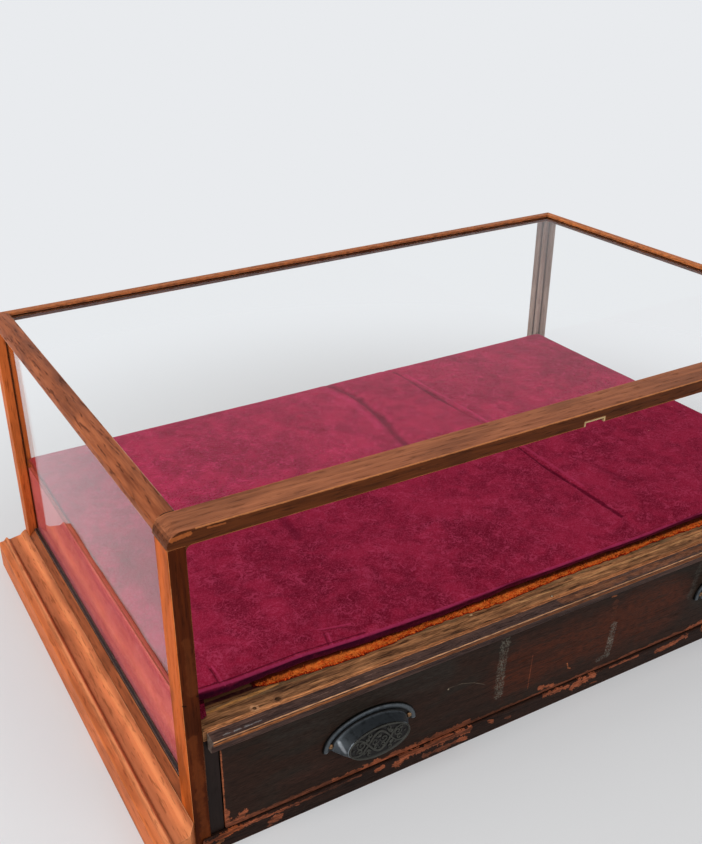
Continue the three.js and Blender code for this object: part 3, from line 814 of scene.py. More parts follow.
@dataclass(frozen=True)
class PlushFinish(Finish):
    """Orange plush, bright at the tips of its fibres and rusty below, with a painted shadow under
    the hem and painted shade between its clumps.

    Attributes:
        root: its colour between the fibres.
        middle: its usual colour.
        tip: the colour of the fibres' tips.
        covered: the colour of the painted shadow under the velvet's hem.
        ground: the height where the fibres start.
        crown: the height of their tips.
    """

    root: Colour
    middle: Colour
    tip: Colour
    covered: Colour
    ground: float = 0.1551
    crown: float = 0.1568

    def build(self) -> bpy.types.Material:
        """Builds the finish.

        Returns:
            The material.
        """
        surface = open_surface(
            self.name, Roughness=0.92, Sheen_Weight=0.08, Sheen_Tint=paint(255, 100, 50),
            Specular_IOR_Level=0.05,
        )
        graph = surface.graph
        strands = graph.noise(surface.spot, 420.0, 3.0, 1.0)
        wide = graph.noise(surface.spot, 120.0, 3.0)
        across, back, height = graph.add("ShaderNodeSeparateXYZ", {0: surface.spot}).outputs
        rise = graph.smooth(height, self.ground, self.crown)
        low = graph.math("MULTIPLY_ADD", strands, 0.9, graph.math("MULTIPLY", wide, 0.7))
        colour = graph.mix(
            graph.smooth(graph.math("MULTIPLY_ADD", rise, 0.45, low), 0.72, 1.12), self.root,
            self.middle,
        )
        colour = graph.mix(graph.smooth(graph.math("MULTIPLY_ADD", rise, 0.5, low), 1.0, 1.4),
                           colour, self.tip)
        # Painted shadow: the plush goes dark behind a ragged line, where the velvet's hem overhangs
        # it.
        back = graph.math("MULTIPLY_ADD", graph.smooth(across, -0.31, -0.21), 0.0026, back)
        back = graph.math("MULTIPLY_ADD", graph.math("SUBTRACT", wide, 0.5), 0.004, back)
        colour = graph.cover(colour, self.covered, graph.smooth(back, -0.2616, -0.2576), 0.9)
        # Painted shade where ambient occlusion finds the fibres hidden, in the roots' colour.
        fold_shade = graph.use(grime(), Vector=surface.spot, Scale=34.0, Reach=0.004)["Corners"]
        colour = graph.cover(colour, self.root, fold_shade, 0.35)
        graph.feed(surface.shader.inputs["Base Color"], colour)
        surface.relief(strands, 0.0012)
        return surface.material


@dataclass(frozen=True)
class MetalFinish(Finish):
    """Cast or stamped metal with rubbed edges, dirt in its hollows, painted shade where they are
    occluded, and painted light marks.

    Attributes:
        face: its usual colour.
        rubbed: its colour where it is rubbed bright.
        hollow: the colour of the dirt in its hollows, also used for the painted shade there.
        metallic: how metallic it looks.
        roughness: the surface's roughness.
        rub_width: how wide the rubbed edges are.
        grit: the depth of its roughness.
        rubs: painted light in fixed places.
    """

    face: Colour
    rubbed: Colour
    hollow: Colour
    metallic: float
    roughness: float
    rub_width: float = 0.0012
    grit: float = 0.0002
    rubs: tuple[Stroke, ...] = ()

    def ground(self, surface: Surface, colour: Socket) -> Socket:
        """Leaves the colour as it is; a relief's ground has a colour of its own."""
        return colour

    def build(self) -> bpy.types.Material:
        """Builds the finish.

        Returns:
            The material.
        """
        surface = open_surface(self.name, Metallic=self.metallic)
        graph = surface.graph
        cloud = graph.noise(surface.spot, 150.0, 4.0)
        sand = graph.noise(surface.spot, 1500.0, 2.0)
        chips = graph.use(
            edge_chips(), Vector=surface.spot, Radius=self.rub_width, Scale=240.0,
            Spread=0.36, Softness=0.3,
        )
        dirt_and_shade = graph.use(grime(), Vector=surface.spot, Scale=160.0, Reach=0.003)
        shade = graph.math("MULTIPLY", graph.smooth(cloud, 0.5, 0.75), 0.5)
        colour = graph.mix(shade, self.face, self.hollow)
        colour = graph.cover(colour, self.rubbed, chips["Mask"], 0.8)
        # Painted shade: ambient occlusion darkens the hollows in the dirt's colour.
        colour = graph.mix(dirt_and_shade["Corners"], colour, self.hollow)
        # The fixed marks are painted light: a highlight and a line of shade.
        colour = marked(surface, self.ground(surface, colour), self.rubs)
        graph.feed(surface.shader.inputs["Base Color"], colour)
        dull = graph.math("MULTIPLY_ADD", cloud, 0.2, self.roughness)
        dull = graph.math("MULTIPLY_ADD", dirt_and_shade["Corners"], 0.3, dull)
        graph.feed(surface.shader.inputs["Roughness"], dull)
        surface.relief(sand, self.grit)
        return surface.material


@dataclass(frozen=True)
class ReliefFinish(MetalFinish):
    """Cast metal whose ridges are rubbed bright above a dark ground.

    Attributes:
        foot: how far in front of the middle of the cabinet the ground lies.
        crest: how far in front of it the ridges' tops lie.
    """

    foot: float = 0.3117
    crest: float = 0.3125

    def ground(self, surface: Surface, colour: Socket) -> Socket:
        """Darkens the ground between the ridges.

        Args:
            surface: the material.
            colour: the metal's colour.

        Returns:
            The colour with its dark ground.
        """
        graph = surface.graph
        split = graph.add("ShaderNodeSeparateXYZ", {0: surface.spot})
        out = graph.math("MULTIPLY", split.outputs[1], -1.0)
        rough = graph.noise(surface.spot, 420.0, 3.0)
        out = graph.math("MULTIPLY_ADD", graph.math("SUBTRACT", rough, 0.5), 0.0006, out)
        return graph.mix(graph.smooth(out, self.crest, self.foot), colour, self.hollow)


@dataclass(frozen=True)
class PuttyFinish(Finish):
    """Black glazing strip with a few pale chips.

    Attributes:
        face: its usual colour.
        chip: the colour of the chips.
    """

    face: Colour
    chip: Colour

    def build(self) -> bpy.types.Material:
        """Builds the finish.

        Returns:
            The material.
        """
        surface = open_surface(self.name, Grain.ALONG_Y)
        graph = surface.graph
        lumps = graph.noise(surface.along, 120.0, 4.0)
        chips = graph.use(
            edge_chips(), Vector=surface.along, Radius=0.0015, Scale=90.0, Spread=0.3,
            Softness=0.05,
        )
        colour = graph.mix(chips["Mask"], self.face, self.chip)
        graph.feed(surface.shader.inputs["Base Color"], colour)
        dull = graph.math("MULTIPLY_ADD", lumps, 0.3, 0.3)
        graph.feed(surface.shader.inputs["Roughness"], dull)
        surface.relief(lumps, 0.0008)
        return surface.material


@dataclass(frozen=True)
class GlassFinish(Finish):
    """Clear window glass that lets the lamps through.

    Attributes:
        tint: its colour.
        ior: how far it bends the light.
    """

    tint: Colour
    ior: float

    def build(self) -> bpy.types.Material:
        """Builds the finish.

        Returns:
            The material.
        """
        surface = open_surface(
            self.name, Roughness=0.0, Transmission_Weight=1.0, IOR=self.ior, Base_Color=self.tint
        )
        graph = surface.graph
        waves = graph.noise(surface.spot, 6.0, 1.0)
        surface.relief(waves, 0.0006)
        path = graph.add("ShaderNodeLightPath").outputs
        through = graph.add("ShaderNodeBsdfTransparent", {"Color": (0.93, 0.94, 0.94, 1.0)})
        unseen = graph.math("MAXIMUM", path["Is Shadow Ray"], path["Is Diffuse Ray"])
        mixed = graph.add(
            "ShaderNodeMixShader", {0: unseen, 1: surface.shader.outputs[0], 2: through.outputs[0]}
        )
        output = graph.tree.nodes["Material Output"]
        graph.feed(output.inputs["Surface"], mixed.outputs[0])
        return surface.material


def drawn(rows: Sequence[tuple]) -> tuple[Stroke, ...]:
    """Makes marks that follow several points each.

    Args:
        rows: each mark's points, and then what a stroke takes after its ends.

    Returns:
        A stroke for each pair of points.
    """
    return tuple(
        Stroke(start, end, *look)
        for path, *look in rows
        for start, end in zip(path, path[1:])
    )


def marks(axis: int, level: float, rows: Sequence[tuple]) -> tuple[Stroke, ...]:
    """Makes the marks of one flat face.

    Args:
        axis: the axis that the face stands across: 1 for y, 2 for z.
        level: where the face lies on that axis.
        rows: as for drawn, with points of two measures in the face.

    Returns:
        A stroke for each pair of points.
    """
    return drawn([
        ([(*spot[:axis], level, *spot[axis:]) for spot in path], *look) for path, *look in rows
    ])


class Finishes:
    """The finishes of the cabinet's pieces."""

    frame_brown = WoodTone(paint(100, 44, 16), paint(60, 22, 8), paint(34, 12, 5))
    frame_top = WoodTone(paint(182, 112, 76), paint(124, 70, 45), paint(68, 35, 20))
    post_orange = WoodTone(paint(210, 106, 44), paint(186, 84, 30), paint(140, 58, 20))
    rail_red = WoodTone(paint(184, 106, 66), paint(126, 64, 36), paint(62, 29, 17))
    nearly_black = WoodTone(paint(42, 30, 27), paint(32, 23, 20), paint(20, 15, 13))
    flake = paint(164, 90, 60)
    scuff = paint(122, 70, 50)
    post_face = -0.2927
    drawer_face = -0.2925
    rail_face = -0.2955
    ledge_top = 0.1545

    @classmethod
    def post(cls, side: Side) -> WoodFinish:
        """A front post: dark on its front, orange on its outer face."""
        out = HALF_WIDTH * side.value
        scar = paint(30, 14, 8)
        return WoodFinish(
            f"post_wood_{side.label}", Grain.ALONG_Z, cls.frame_brown,
            faces=(FaceTone((float(side.value), 0.0, 0.0), cls.post_orange),),
            worn=paint(224, 138, 84), spread=0.24, growth=150.0, dirt_patches=0.5, shine=0.02,
            dirt=paint(46, 20, 9), contrast=0.6, pore_depth=0.4,
            strokes=marks(1, cls.post_face, (
                (((out, 0.345), (out, 0.004)), 0.0007, paint(226, 150, 98), 0.75, 1.4, 90.0),
                (((out * 0.985, 0.150), (out * 0.975, 0.020)), 0.0062, paint(124, 62, 28), 0.45,
                 1.8, 60.0, 0.6),
                (((out * 0.98, 0.262), (out * 0.975, 0.205)), 0.0050, paint(112, 58, 28), 0.4,
                 1.8, 60.0, 0.6),
                (((out * 0.967, 0.1995), (out * 0.964, 0.1985)), 0.0012, scar, 0.9),
                (((out * 0.999, 0.1935), (out * 0.992, 0.1925)), 0.0010, scar, 0.9),
            )),
        )

    shaded = WoodTone(paint(104, 72, 64), paint(74, 50, 46), paint(46, 30, 28))
    front_rail = WoodFinish(
        "front_rail_wood", Grain.ALONG_X,
        WoodTone(paint(112, 58, 28), paint(70, 34, 15), paint(40, 18, 9)),
        faces=(FaceTone((0.0, 0.0, 1.0), frame_top),),
        worn=paint(206, 126, 72), spread=0.24, dirt_patches=0.35, dirt=paint(58, 28, 14),
        contrast=0.8,
        strokes=drawn((
            (((-0.430, -0.2927, 0.3735), (0.457, -0.2927, 0.3735)), 0.0008, paint(212, 136, 84),
             0.7, 1.5, 110.0),
            (((-0.452, -0.2928, 0.3685), (-0.436, -0.2928, 0.3700)), 0.0022, paint(184, 102, 52),
             0.75, 1.6, 200.0),
            (((-0.420, -0.2928, 0.3705), (-0.404, -0.2928, 0.3700)), 0.0010, paint(176, 98, 52),
             0.6, 1.6, 200.0),
            (((-0.440, -0.2928, 0.3560), (0.440, -0.2928, 0.3560)), 0.0016, paint(40, 18, 9), 0.7,
             1.8, 70.0),
            (((-0.4555, -0.262, 0.3742), (-0.4530, -0.290, 0.3742)), 0.0040, paint(108, 62, 42),
             0.55, 1.0, 120.0, 0.6),
        )),
    )
    side_rail = WoodFinish(
        "side_rail_wood", Grain.ALONG_Y, rail_red, growth=90.0, worn=paint(224, 168, 130),
        spread=0.2, coat=0.04, roughness=0.36, dirt_patches=0.45, dirt=paint(78, 38, 22),
        contrast=0.95, pore_depth=0.65,
        strokes=drawn((
            (((-0.4580, -0.2590, 0.3735), (-0.4340, -0.2590, 0.3735)), 0.0012, paint(36, 16, 9),
             0.95, 0.4),
            # A painted highlight along the rail's inner top edge.
            (((-0.4352, -0.230, 0.3738), (-0.4352, 0.290, 0.3738)), 0.0009, paint(222, 160, 116),
             0.5, 1.6, 60.0),
        )),
    )
    back_rail = WoodFinish(
        "back_rail_wood", Grain.ALONG_X,
        WoodTone(paint(206, 122, 70), paint(150, 84, 48), paint(80, 40, 24)),
        faces=(FaceTone((0.0, -1.0, 0.0), shaded),),
        worn=paint(222, 150, 98), spread=0.12, dirt_patches=0.25, veins=0.35,
        strokes=drawn((
            (((-0.4560, 0.2920, 0.3722), (0.4560, 0.2920, 0.3722)), 0.0052, paint(178, 104, 60),
             0.92, 0.4, 60.0),
        )),
    )
    right_rail = WoodFinish(
        "right_rail_wood", Grain.ALONG_Y,
        WoodTone(paint(216, 124, 62), paint(172, 92, 44), paint(104, 52, 26)),
        faces=(FaceTone((-1.0, 0.0, 0.0), shaded),),
        worn=paint(232, 164, 110), spread=0.12, dirt_patches=0.2, contrast=0.8, veins=0.35,
        strokes=drawn((
            (((0.4348, -0.2590, 0.3722), (0.4348, 0.3140, 0.3722)), 0.0052, paint(206, 122, 66),
             0.92, 0.4, 60.0),
        )),
    )
    rear_post = WoodFinish(
        "rear_post_wood", Grain.ALONG_Z,
        WoodTone(paint(196, 170, 156), paint(152, 126, 114), paint(104, 80, 70)),
        faces=(
            FaceTone((1.0, 0.0, 0.0), post_orange), FaceTone((0.0, 1.0, 0.0), post_orange),
        ),
        worn=paint(224, 200, 178), spread=0.3, wear_scale=90.0, dirt=paint(112, 82, 66),
        dirt_patches=0.5, shine=0.02, contrast=0.8,
    )
    rear_post_left = WoodFinish(
        "rear_post_left_wood", Grain.ALONG_Z,
        WoodTone(paint(226, 122, 62), paint(186, 92, 42), paint(110, 50, 20)),
        faces=(
            FaceTone((1.0, 0.0, 0.0),
                     WoodTone(paint(190, 160, 142), paint(140, 112, 98), paint(90, 68, 58))),
        ),
        worn=paint(226, 168, 120), spread=0.2, wear_scale=90.0, dirt_patches=0.3, shine=0.02,
        strokes=drawn((
            (((-0.4420, 0.2919, 0.355), (-0.4420, 0.2919, 0.150)), 0.0016, paint(60, 32, 20), 0.8,
             1.2, 60.0),
        )),
    )
    moulding = MouldingFinish(
        "moulding_wood", Grain.ALONG_Y,
        WoodTone(paint(242, 152, 104), paint(192, 110, 70), paint(110, 56, 34)),
        worn=paint(236, 160, 112), spread=0.2, growth=60.0, coat=0.0, contrast=0.8,
        dirt_patches=0.3, pore_depth=0.4, dirt=paint(92, 42, 22), shine=0.02,
        # Across the moulding, the darkest band is painted shade in the groove, and the palest bands
        # are partly painted highlights on the rounds.
        stops=(
            (0.0, paint(136, 78, 48)), (0.08, paint(190, 110, 70)), (0.17, paint(246, 154, 98)),
            (0.3, paint(236, 142, 90)), (0.42, paint(178, 104, 68)), (0.56, paint(164, 94, 62)),
            (0.61, paint(88, 44, 28)), (0.67, paint(240, 162, 114)), (0.74, paint(230, 142, 92)),
            (0.79, paint(168, 94, 58)), (0.84, paint(210, 118, 70)), (0.95, paint(200, 106, 58)),
            (0.985, paint(210, 106, 44)), (1.0, paint(198, 96, 38)),
        ),
    )
    sill = WoodFinish(
        "sill_wood", Grain.ALONG_Y,
        WoodTone(paint(176, 96, 56), paint(120, 62, 36), paint(60, 30, 18)),
    )
    ledge = WoodFinish(
        "ledge_wood", Grain.ALONG_X,
        WoodTone(paint(190, 132, 88), paint(106, 70, 48), paint(48, 31, 24)),
        worn=paint(206, 144, 94), spread=0.34, wear_scale=46.0, dirt=paint(66, 46, 37),
        dirt_patches=0.55, roughness=0.66, shine=0.04, coat=0.0, depth=0.0006, pore_depth=0.7,
        contrast=1.4, veins=0.35,
        strokes=marks(2, ledge_top, (
            (((-0.425, -0.2690), (0.440, -0.2690)), 0.0042, paint(122, 104, 76), 0.5, 1.6, 40.0,
             0.6),
            (((0.02, -0.2770), (0.440, -0.2760)), 0.0050, paint(206, 142, 94), 0.45, 2.4, 40.0,
             0.6),
            (((-0.425, -0.2705), (-0.350, -0.2672)), 0.0024, paint(208, 144, 82), 0.85, 1.0, 100.0,
             0.5),
            (((-0.436, -0.2905), (-0.250, -0.2912)), 0.0017, paint(206, 136, 88), 0.85, 1.2, 42.0),
            (((-0.250, -0.2912), (0.440, -0.2915)), 0.0014, paint(186, 116, 72), 0.6, 2.2, 42.0),
            (((-0.08, -0.2800), (0.22, -0.2790)), 0.0016, paint(196, 146, 98), 0.5, 2.4, 48.0),
            # Two screw holes: a ring round each, with painted shade in its dark core.
            (((-0.384, -0.28675), (-0.384, -0.28675)), 0.0054, paint(206, 150, 108), 0.9, 0.6,
             500.0),
            (((-0.384, -0.28675), (-0.384, -0.28675)), 0.0024, paint(22, 14, 10), 1.0, 0.3, 500.0),
            (((-0.359, -0.28625), (-0.359, -0.28625)), 0.0058, paint(120, 82, 58), 0.8, 0.8, 500.0),
            (((-0.359, -0.28625), (-0.359, -0.28625)), 0.0034, paint(24, 16, 12), 1.0, 0.6, 500.0),
            (((-0.1218, -0.2721), (-0.1200, -0.2719)), 0.0013, paint(232, 196, 150), 1.0, 0.4,
             400.0),
            (((-0.0249, -0.2885), (-0.0249, -0.2885)), 0.0020, paint(30, 20, 16), 0.9, 0.5, 400.0),
            (((-0.0249, -0.2885), (-0.0249, -0.2885)), 0.0010, paint(226, 206, 180), 1.0, 0.3,
             400.0),
        )),
    )
    nosing = WoodFinish(
        "nosing_wood", Grain.ALONG_X,
        WoodTone(paint(92, 68, 60), paint(56, 41, 39), paint(32, 23, 22)),
        faces=(
            FaceTone((-1.0, 0.0, 0.0),
                     WoodTone(paint(120, 106, 96), paint(84, 72, 64), paint(44, 36, 32))),
        ),
        worn=paint(176, 116, 78), spread=0.12, wear_width=0.0014, dirt_patches=0.35,
        dirt=paint(34, 24, 22), roughness=0.5, shine=0.06, depth=0.0004, contrast=1.1, veins=0.3,
        strokes=drawn((
            (((-0.02, -0.3010, 0.1545), (0.440, -0.3005, 0.1545)), 0.0065, paint(146, 88, 54), 0.5,
             2.0, 36.0, 0.7),
            (((-0.436, -0.2936, 0.1545), (0.436, -0.2936, 0.1545)), 0.0013, paint(196, 126, 80),
             0.85, 1.4, 60.0),
            (((-0.436, -0.3089, 0.1500), (0.436, -0.3089, 0.1500)), 0.0026, paint(128, 74, 40), 0.9,
             0.9, 60.0, 0.4),
            (((-0.436, -0.3088, 0.1508), (-0.250, -0.3088, 0.1508)), 0.0013, paint(178, 110, 62),
             0.6, 1.4, 60.0, 0.4),
            # A painted highlight along the nosing's front top arris.
            (((-0.436, -0.3082, 0.1534), (0.436, -0.3082, 0.1534)), 0.0008, paint(214, 158, 114),
             0.8, 1.1, 70.0),
            (((-0.436, -0.3088, 0.1484), (0.436, -0.3088, 0.1484)), 0.0007, paint(176, 112, 66),
             0.6, 1.6, 60.0),
            (((-0.424, -0.3040, 0.1546), (-0.385, -0.3035, 0.1546)), 0.0012, paint(150, 146, 144),
             0.55, 2.0, 200.0),
            (((-0.330, -0.3010, 0.1546), (-0.250, -0.2995, 0.1546)), 0.0009, paint(120, 92, 80),
             0.5, 2.2, 90.0),
            (((0.00, -0.3000, 0.1546), (0.055, -0.3005, 0.1546)), 0.0022, paint(150, 100, 68), 0.5,
             2.4, 90.0),
        )),
    )
    drawer_front = WoodFinish(
        "drawer_front_wood", Grain.ALONG_X,
        WoodTone(paint(54, 34, 26), paint(38, 25, 19), paint(26, 17, 13)),
        worn=paint(160, 84, 48), spread=0.12, wear_softness=0.05, pore_depth=0.3,
        dirt_patches=0.5, dirt=paint(40, 38, 33), roughness=0.42, shine=0.05, depth=0.00008,
        contrast=0.9, veins=0.55,
        strokes=marks(1, drawer_face, (
            # This greyish patch and the one two lines down are painted sheen: a dull reflection on
            # the dark finish.
            (((-0.36, 0.112), (-0.17, 0.118)), 0.030, paint(46, 45, 41), 0.6, 0.9, 14.0, 0.8),
            (((-0.060, 0.070), (0.150, 0.080)), 0.052, paint(80, 36, 19), 0.8, 0.9, 12.0, 0.7),
            (((0.23, 0.070), (0.40, 0.080)), 0.040, paint(52, 47, 40), 0.6, 0.9, 12.0, 0.8),
            (((-0.36, 0.050), (-0.24, 0.046)), 0.014, paint(60, 36, 28), 0.5, 1.2, 24.0, 0.8),
            (((-0.0870, 0.1225), (-0.0900, 0.083), (-0.0905, 0.047)), 0.0068, paint(122, 118, 106),
             0.6, 0.9, 160.0, 0.28, 0.95),
            (((0.0745, 0.080), (0.0717, 0.057), (0.0690, 0.038)), 0.0056, paint(120, 116, 106), 0.6,
             0.9, 160.0, 0.28, 0.95),
            (((0.0655, 0.0375), (0.0560, 0.0350)), 0.0034, paint(110, 104, 96), 0.5, 1.4, 160.0,
             0.28, 0.95),
            (((0.205, 0.118), (0.196, 0.075)), 0.0060, paint(88, 86, 80), 0.4, 1.4, 300.0, 0.6,
             0.8),
            (((0.072, 0.112), (0.070, 0.095)), 0.0050, paint(96, 52, 34), 0.5, 1.8, 200.0, 0.28,
             0.5),
            (((-0.0462, 0.084), (-0.0485, 0.037)), 0.0009, paint(138, 70, 44), 0.6, 1.6, 120.0,
             0.5),
            (((-0.0455, 0.084), (0.020, 0.096), (0.060, 0.104)), 0.0006, paint(92, 46, 32), 0.3,
             1.8, 80.0),
            (((-0.160, 0.0862), (-0.143, 0.0850), (-0.126, 0.0790), (-0.111, 0.0700)), 0.0006,
             paint(118, 104, 90), 0.5, 0.9, 90.0),
            (((-0.1605, 0.0848), (-0.1605, 0.0848)), 0.0012, paint(176, 160, 138), 0.8, 0.3),
            (((0.0080, 0.050), (0.0100, 0.043), (0.0135, 0.0405)), 0.0011, paint(176, 98, 58), 0.8,
             1.0),
            (((-0.4236, 0.124), (-0.4238, 0.030)), 0.0011, paint(170, 96, 62), 0.85, 1.6, 160.0),
            (((-0.4225, 0.0420), (-0.4215, 0.0250), (-0.4100, 0.0255), (-0.4020, 0.0330)), 0.0042,
             flake, 0.95, 3.0, 170.0, 0.12),
            (((-0.4160, 0.0250), (-0.3900, 0.0235)), 0.0030, flake, 0.9, 2.8, 192.0, 0.12),
            (((-0.424, 0.0225), (-0.300, 0.0232)), 0.0040, scuff, 0.95, 1.6, 80.0, 0.2),
            (((-0.300, 0.0222), (-0.130, 0.0235)), 0.0044, flake, 0.9, 3.0, 96.0, 0.12),
            (((-0.130, 0.0222), (0.424, 0.0222)), 0.0028, scuff, 0.95, 2.4, 67.0, 0.15),
            (((-0.030, 0.0300), (-0.012, 0.0270)), 0.0028, flake, 0.9, 3.2, 200.0, 0.12),
            (((0.205, 0.0240), (0.240, 0.0250)), 0.0026, flake, 0.8, 3.2, 160.0, 0.12),
            (((-0.250, 0.0395), (-0.246, 0.0380)), 0.0022, scuff, 0.8, 1.8, 240.0),
            (((0.0005, 0.1296), (0.008, 0.1300)), 0.0017, paint(206, 122, 66), 0.9, 1.4, 200.0),
            (((0.064, 0.1235), (0.071, 0.1230)), 0.0013, paint(190, 108, 62), 0.8, 1.4, 200.0),
        )),
    )
    stile = WoodFinish(
        "stile_wood", Grain.ALONG_Z, nearly_black, worn=paint(150, 92, 62), spread=0.08,
        wear_softness=0.04, dirt=paint(18, 13, 12), roughness=0.42, shine=0.07, depth=0.00008,
        contrast=0.5, pore_depth=0.2,
    )
    bottom_rail = WoodFinish(
        "bottom_rail_wood", Grain.ALONG_X,
        WoodTone(paint(50, 30, 22), paint(32, 20, 16), paint(22, 15, 12)),
        worn=scuff, spread=0.30, wear=0.85, wear_softness=0.03, wear_scale=115.0,
        wear_width=0.0030, dirt=paint(22, 15, 13), roughness=0.5, shine=0.06, depth=0.0004,
        veins=0.75,
        strokes=marks(1, rail_face, (
            (((-0.449, 0.0150), (-0.405, 0.0185)), 0.0034, paint(168, 86, 48), 0.95, 2.8, 110.0,
             0.12),
            (((-0.445, 0.0060), (-0.430, 0.0110)), 0.0022, paint(196, 120, 72), 0.8, 2.8, 140.0,
             0.12),
            (((-0.405, 0.0180), (-0.330, 0.0170)), 0.0020, flake, 0.9, 3.0, 128.0, 0.12),
            (((-0.376, 0.0080), (-0.366, 0.0095)), 0.0034, flake, 0.9, 3.0, 130.0, 0.12),
            (((-0.330, 0.0170), (-0.270, 0.0180)), 0.0012, scuff, 0.8, 3.0, 128.0, 0.12),
            (((-0.251, 0.0150), (-0.243, 0.0165)), 0.0030, flake, 1.0, 2.0, 150.0, 0.12),
            (((-0.226, 0.0105), (-0.214, 0.0170)), 0.0046, flake, 1.0, 2.8, 192.0, 0.12),
            (((-0.218, 0.0180), (-0.130, 0.0165)), 0.0042, flake, 0.95, 3.2, 118.0, 0.12),
            (((-0.190, 0.0060), (-0.150, 0.0065)), 0.0026, scuff, 0.9, 3.2, 160.0, 0.12),
            (((-0.143, 0.0070), (-0.136, 0.0060)), 0.0034, flake, 0.95, 2.6, 140.0, 0.12),
            (((-0.104, 0.0165), (-0.098, 0.0125)), 0.0026, flake, 0.9, 2.6, 140.0, 0.12),
            (((-0.080, 0.0100), (-0.074, 0.0085)), 0.0022, scuff, 0.9, 2.6, 140.0, 0.12),
            (((-0.024, 0.0185), (0.010, 0.0175)), 0.0026, flake, 0.95, 3.2, 176.0, 0.12),
            (((0.018, 0.0130), (0.050, 0.0175)), 0.0046, flake, 1.0, 3.0, 160.0, 0.12),
            (((0.075, 0.0185), (0.120, 0.0180)), 0.0014, flake, 0.85, 2.6, 144.0, 0.12),
            (((0.150, 0.0110), (0.200, 0.0165)), 0.0034, flake, 0.9, 3.2, 144.0, 0.12),
            (((0.230, 0.0170), (0.330, 0.0130)), 0.0036, flake, 0.9, 3.4, 112.0, 0.12),
            (((0.360, 0.0110), (0.440, 0.0160)), 0.0036, flake, 0.9, 3.4, 112.0, 0.12),
        )),
    )
    carcass = WoodFinish(
        "carcass_wood", Grain.ALONG_X,
        WoodTone(paint(150, 102, 66), paint(108, 70, 46), paint(64, 42, 30)),
        roughness=0.6,
    )
    covered = WoodTone(paint(200, 82, 88), paint(180, 66, 76), paint(150, 44, 60))
    deck = replace(
        carcass, name="deck_wood", wear=0.0,
        faces=(FaceTone((-1.0, 0.0, 0.0), covered), FaceTone((1.0, 0.0, 0.0), covered)),
        strokes=drawn((
            # A painted shadow in the gap between the velvet's hem and the ledge.
            (((-0.4400, -0.2588, 0.1545), (-0.3450, -0.2602, 0.1545)), 0.0034, paint(48, 11, 22),
             0.95, 0.7, 60.0, 0.5),
            (((-0.4392, -0.2480, 0.1540), (-0.4392, 0.2920, 0.1540)), 0.0052, paint(214, 92, 98)),
            (((0.4392, -0.2480, 0.1540), (0.4392, 0.2920, 0.1540)), 0.0052, paint(214, 92, 98)),
        )),
    )
    bare = WoodFinish(
        "bare_wood_boards", Grain.ALONG_Y,
        WoodTone(paint(208, 168, 120), paint(176, 134, 90), paint(120, 84, 54)),
        roughness=0.66, worn=paint(222, 190, 148), dirt=paint(96, 66, 44), dirt_patches=0.2,
    )
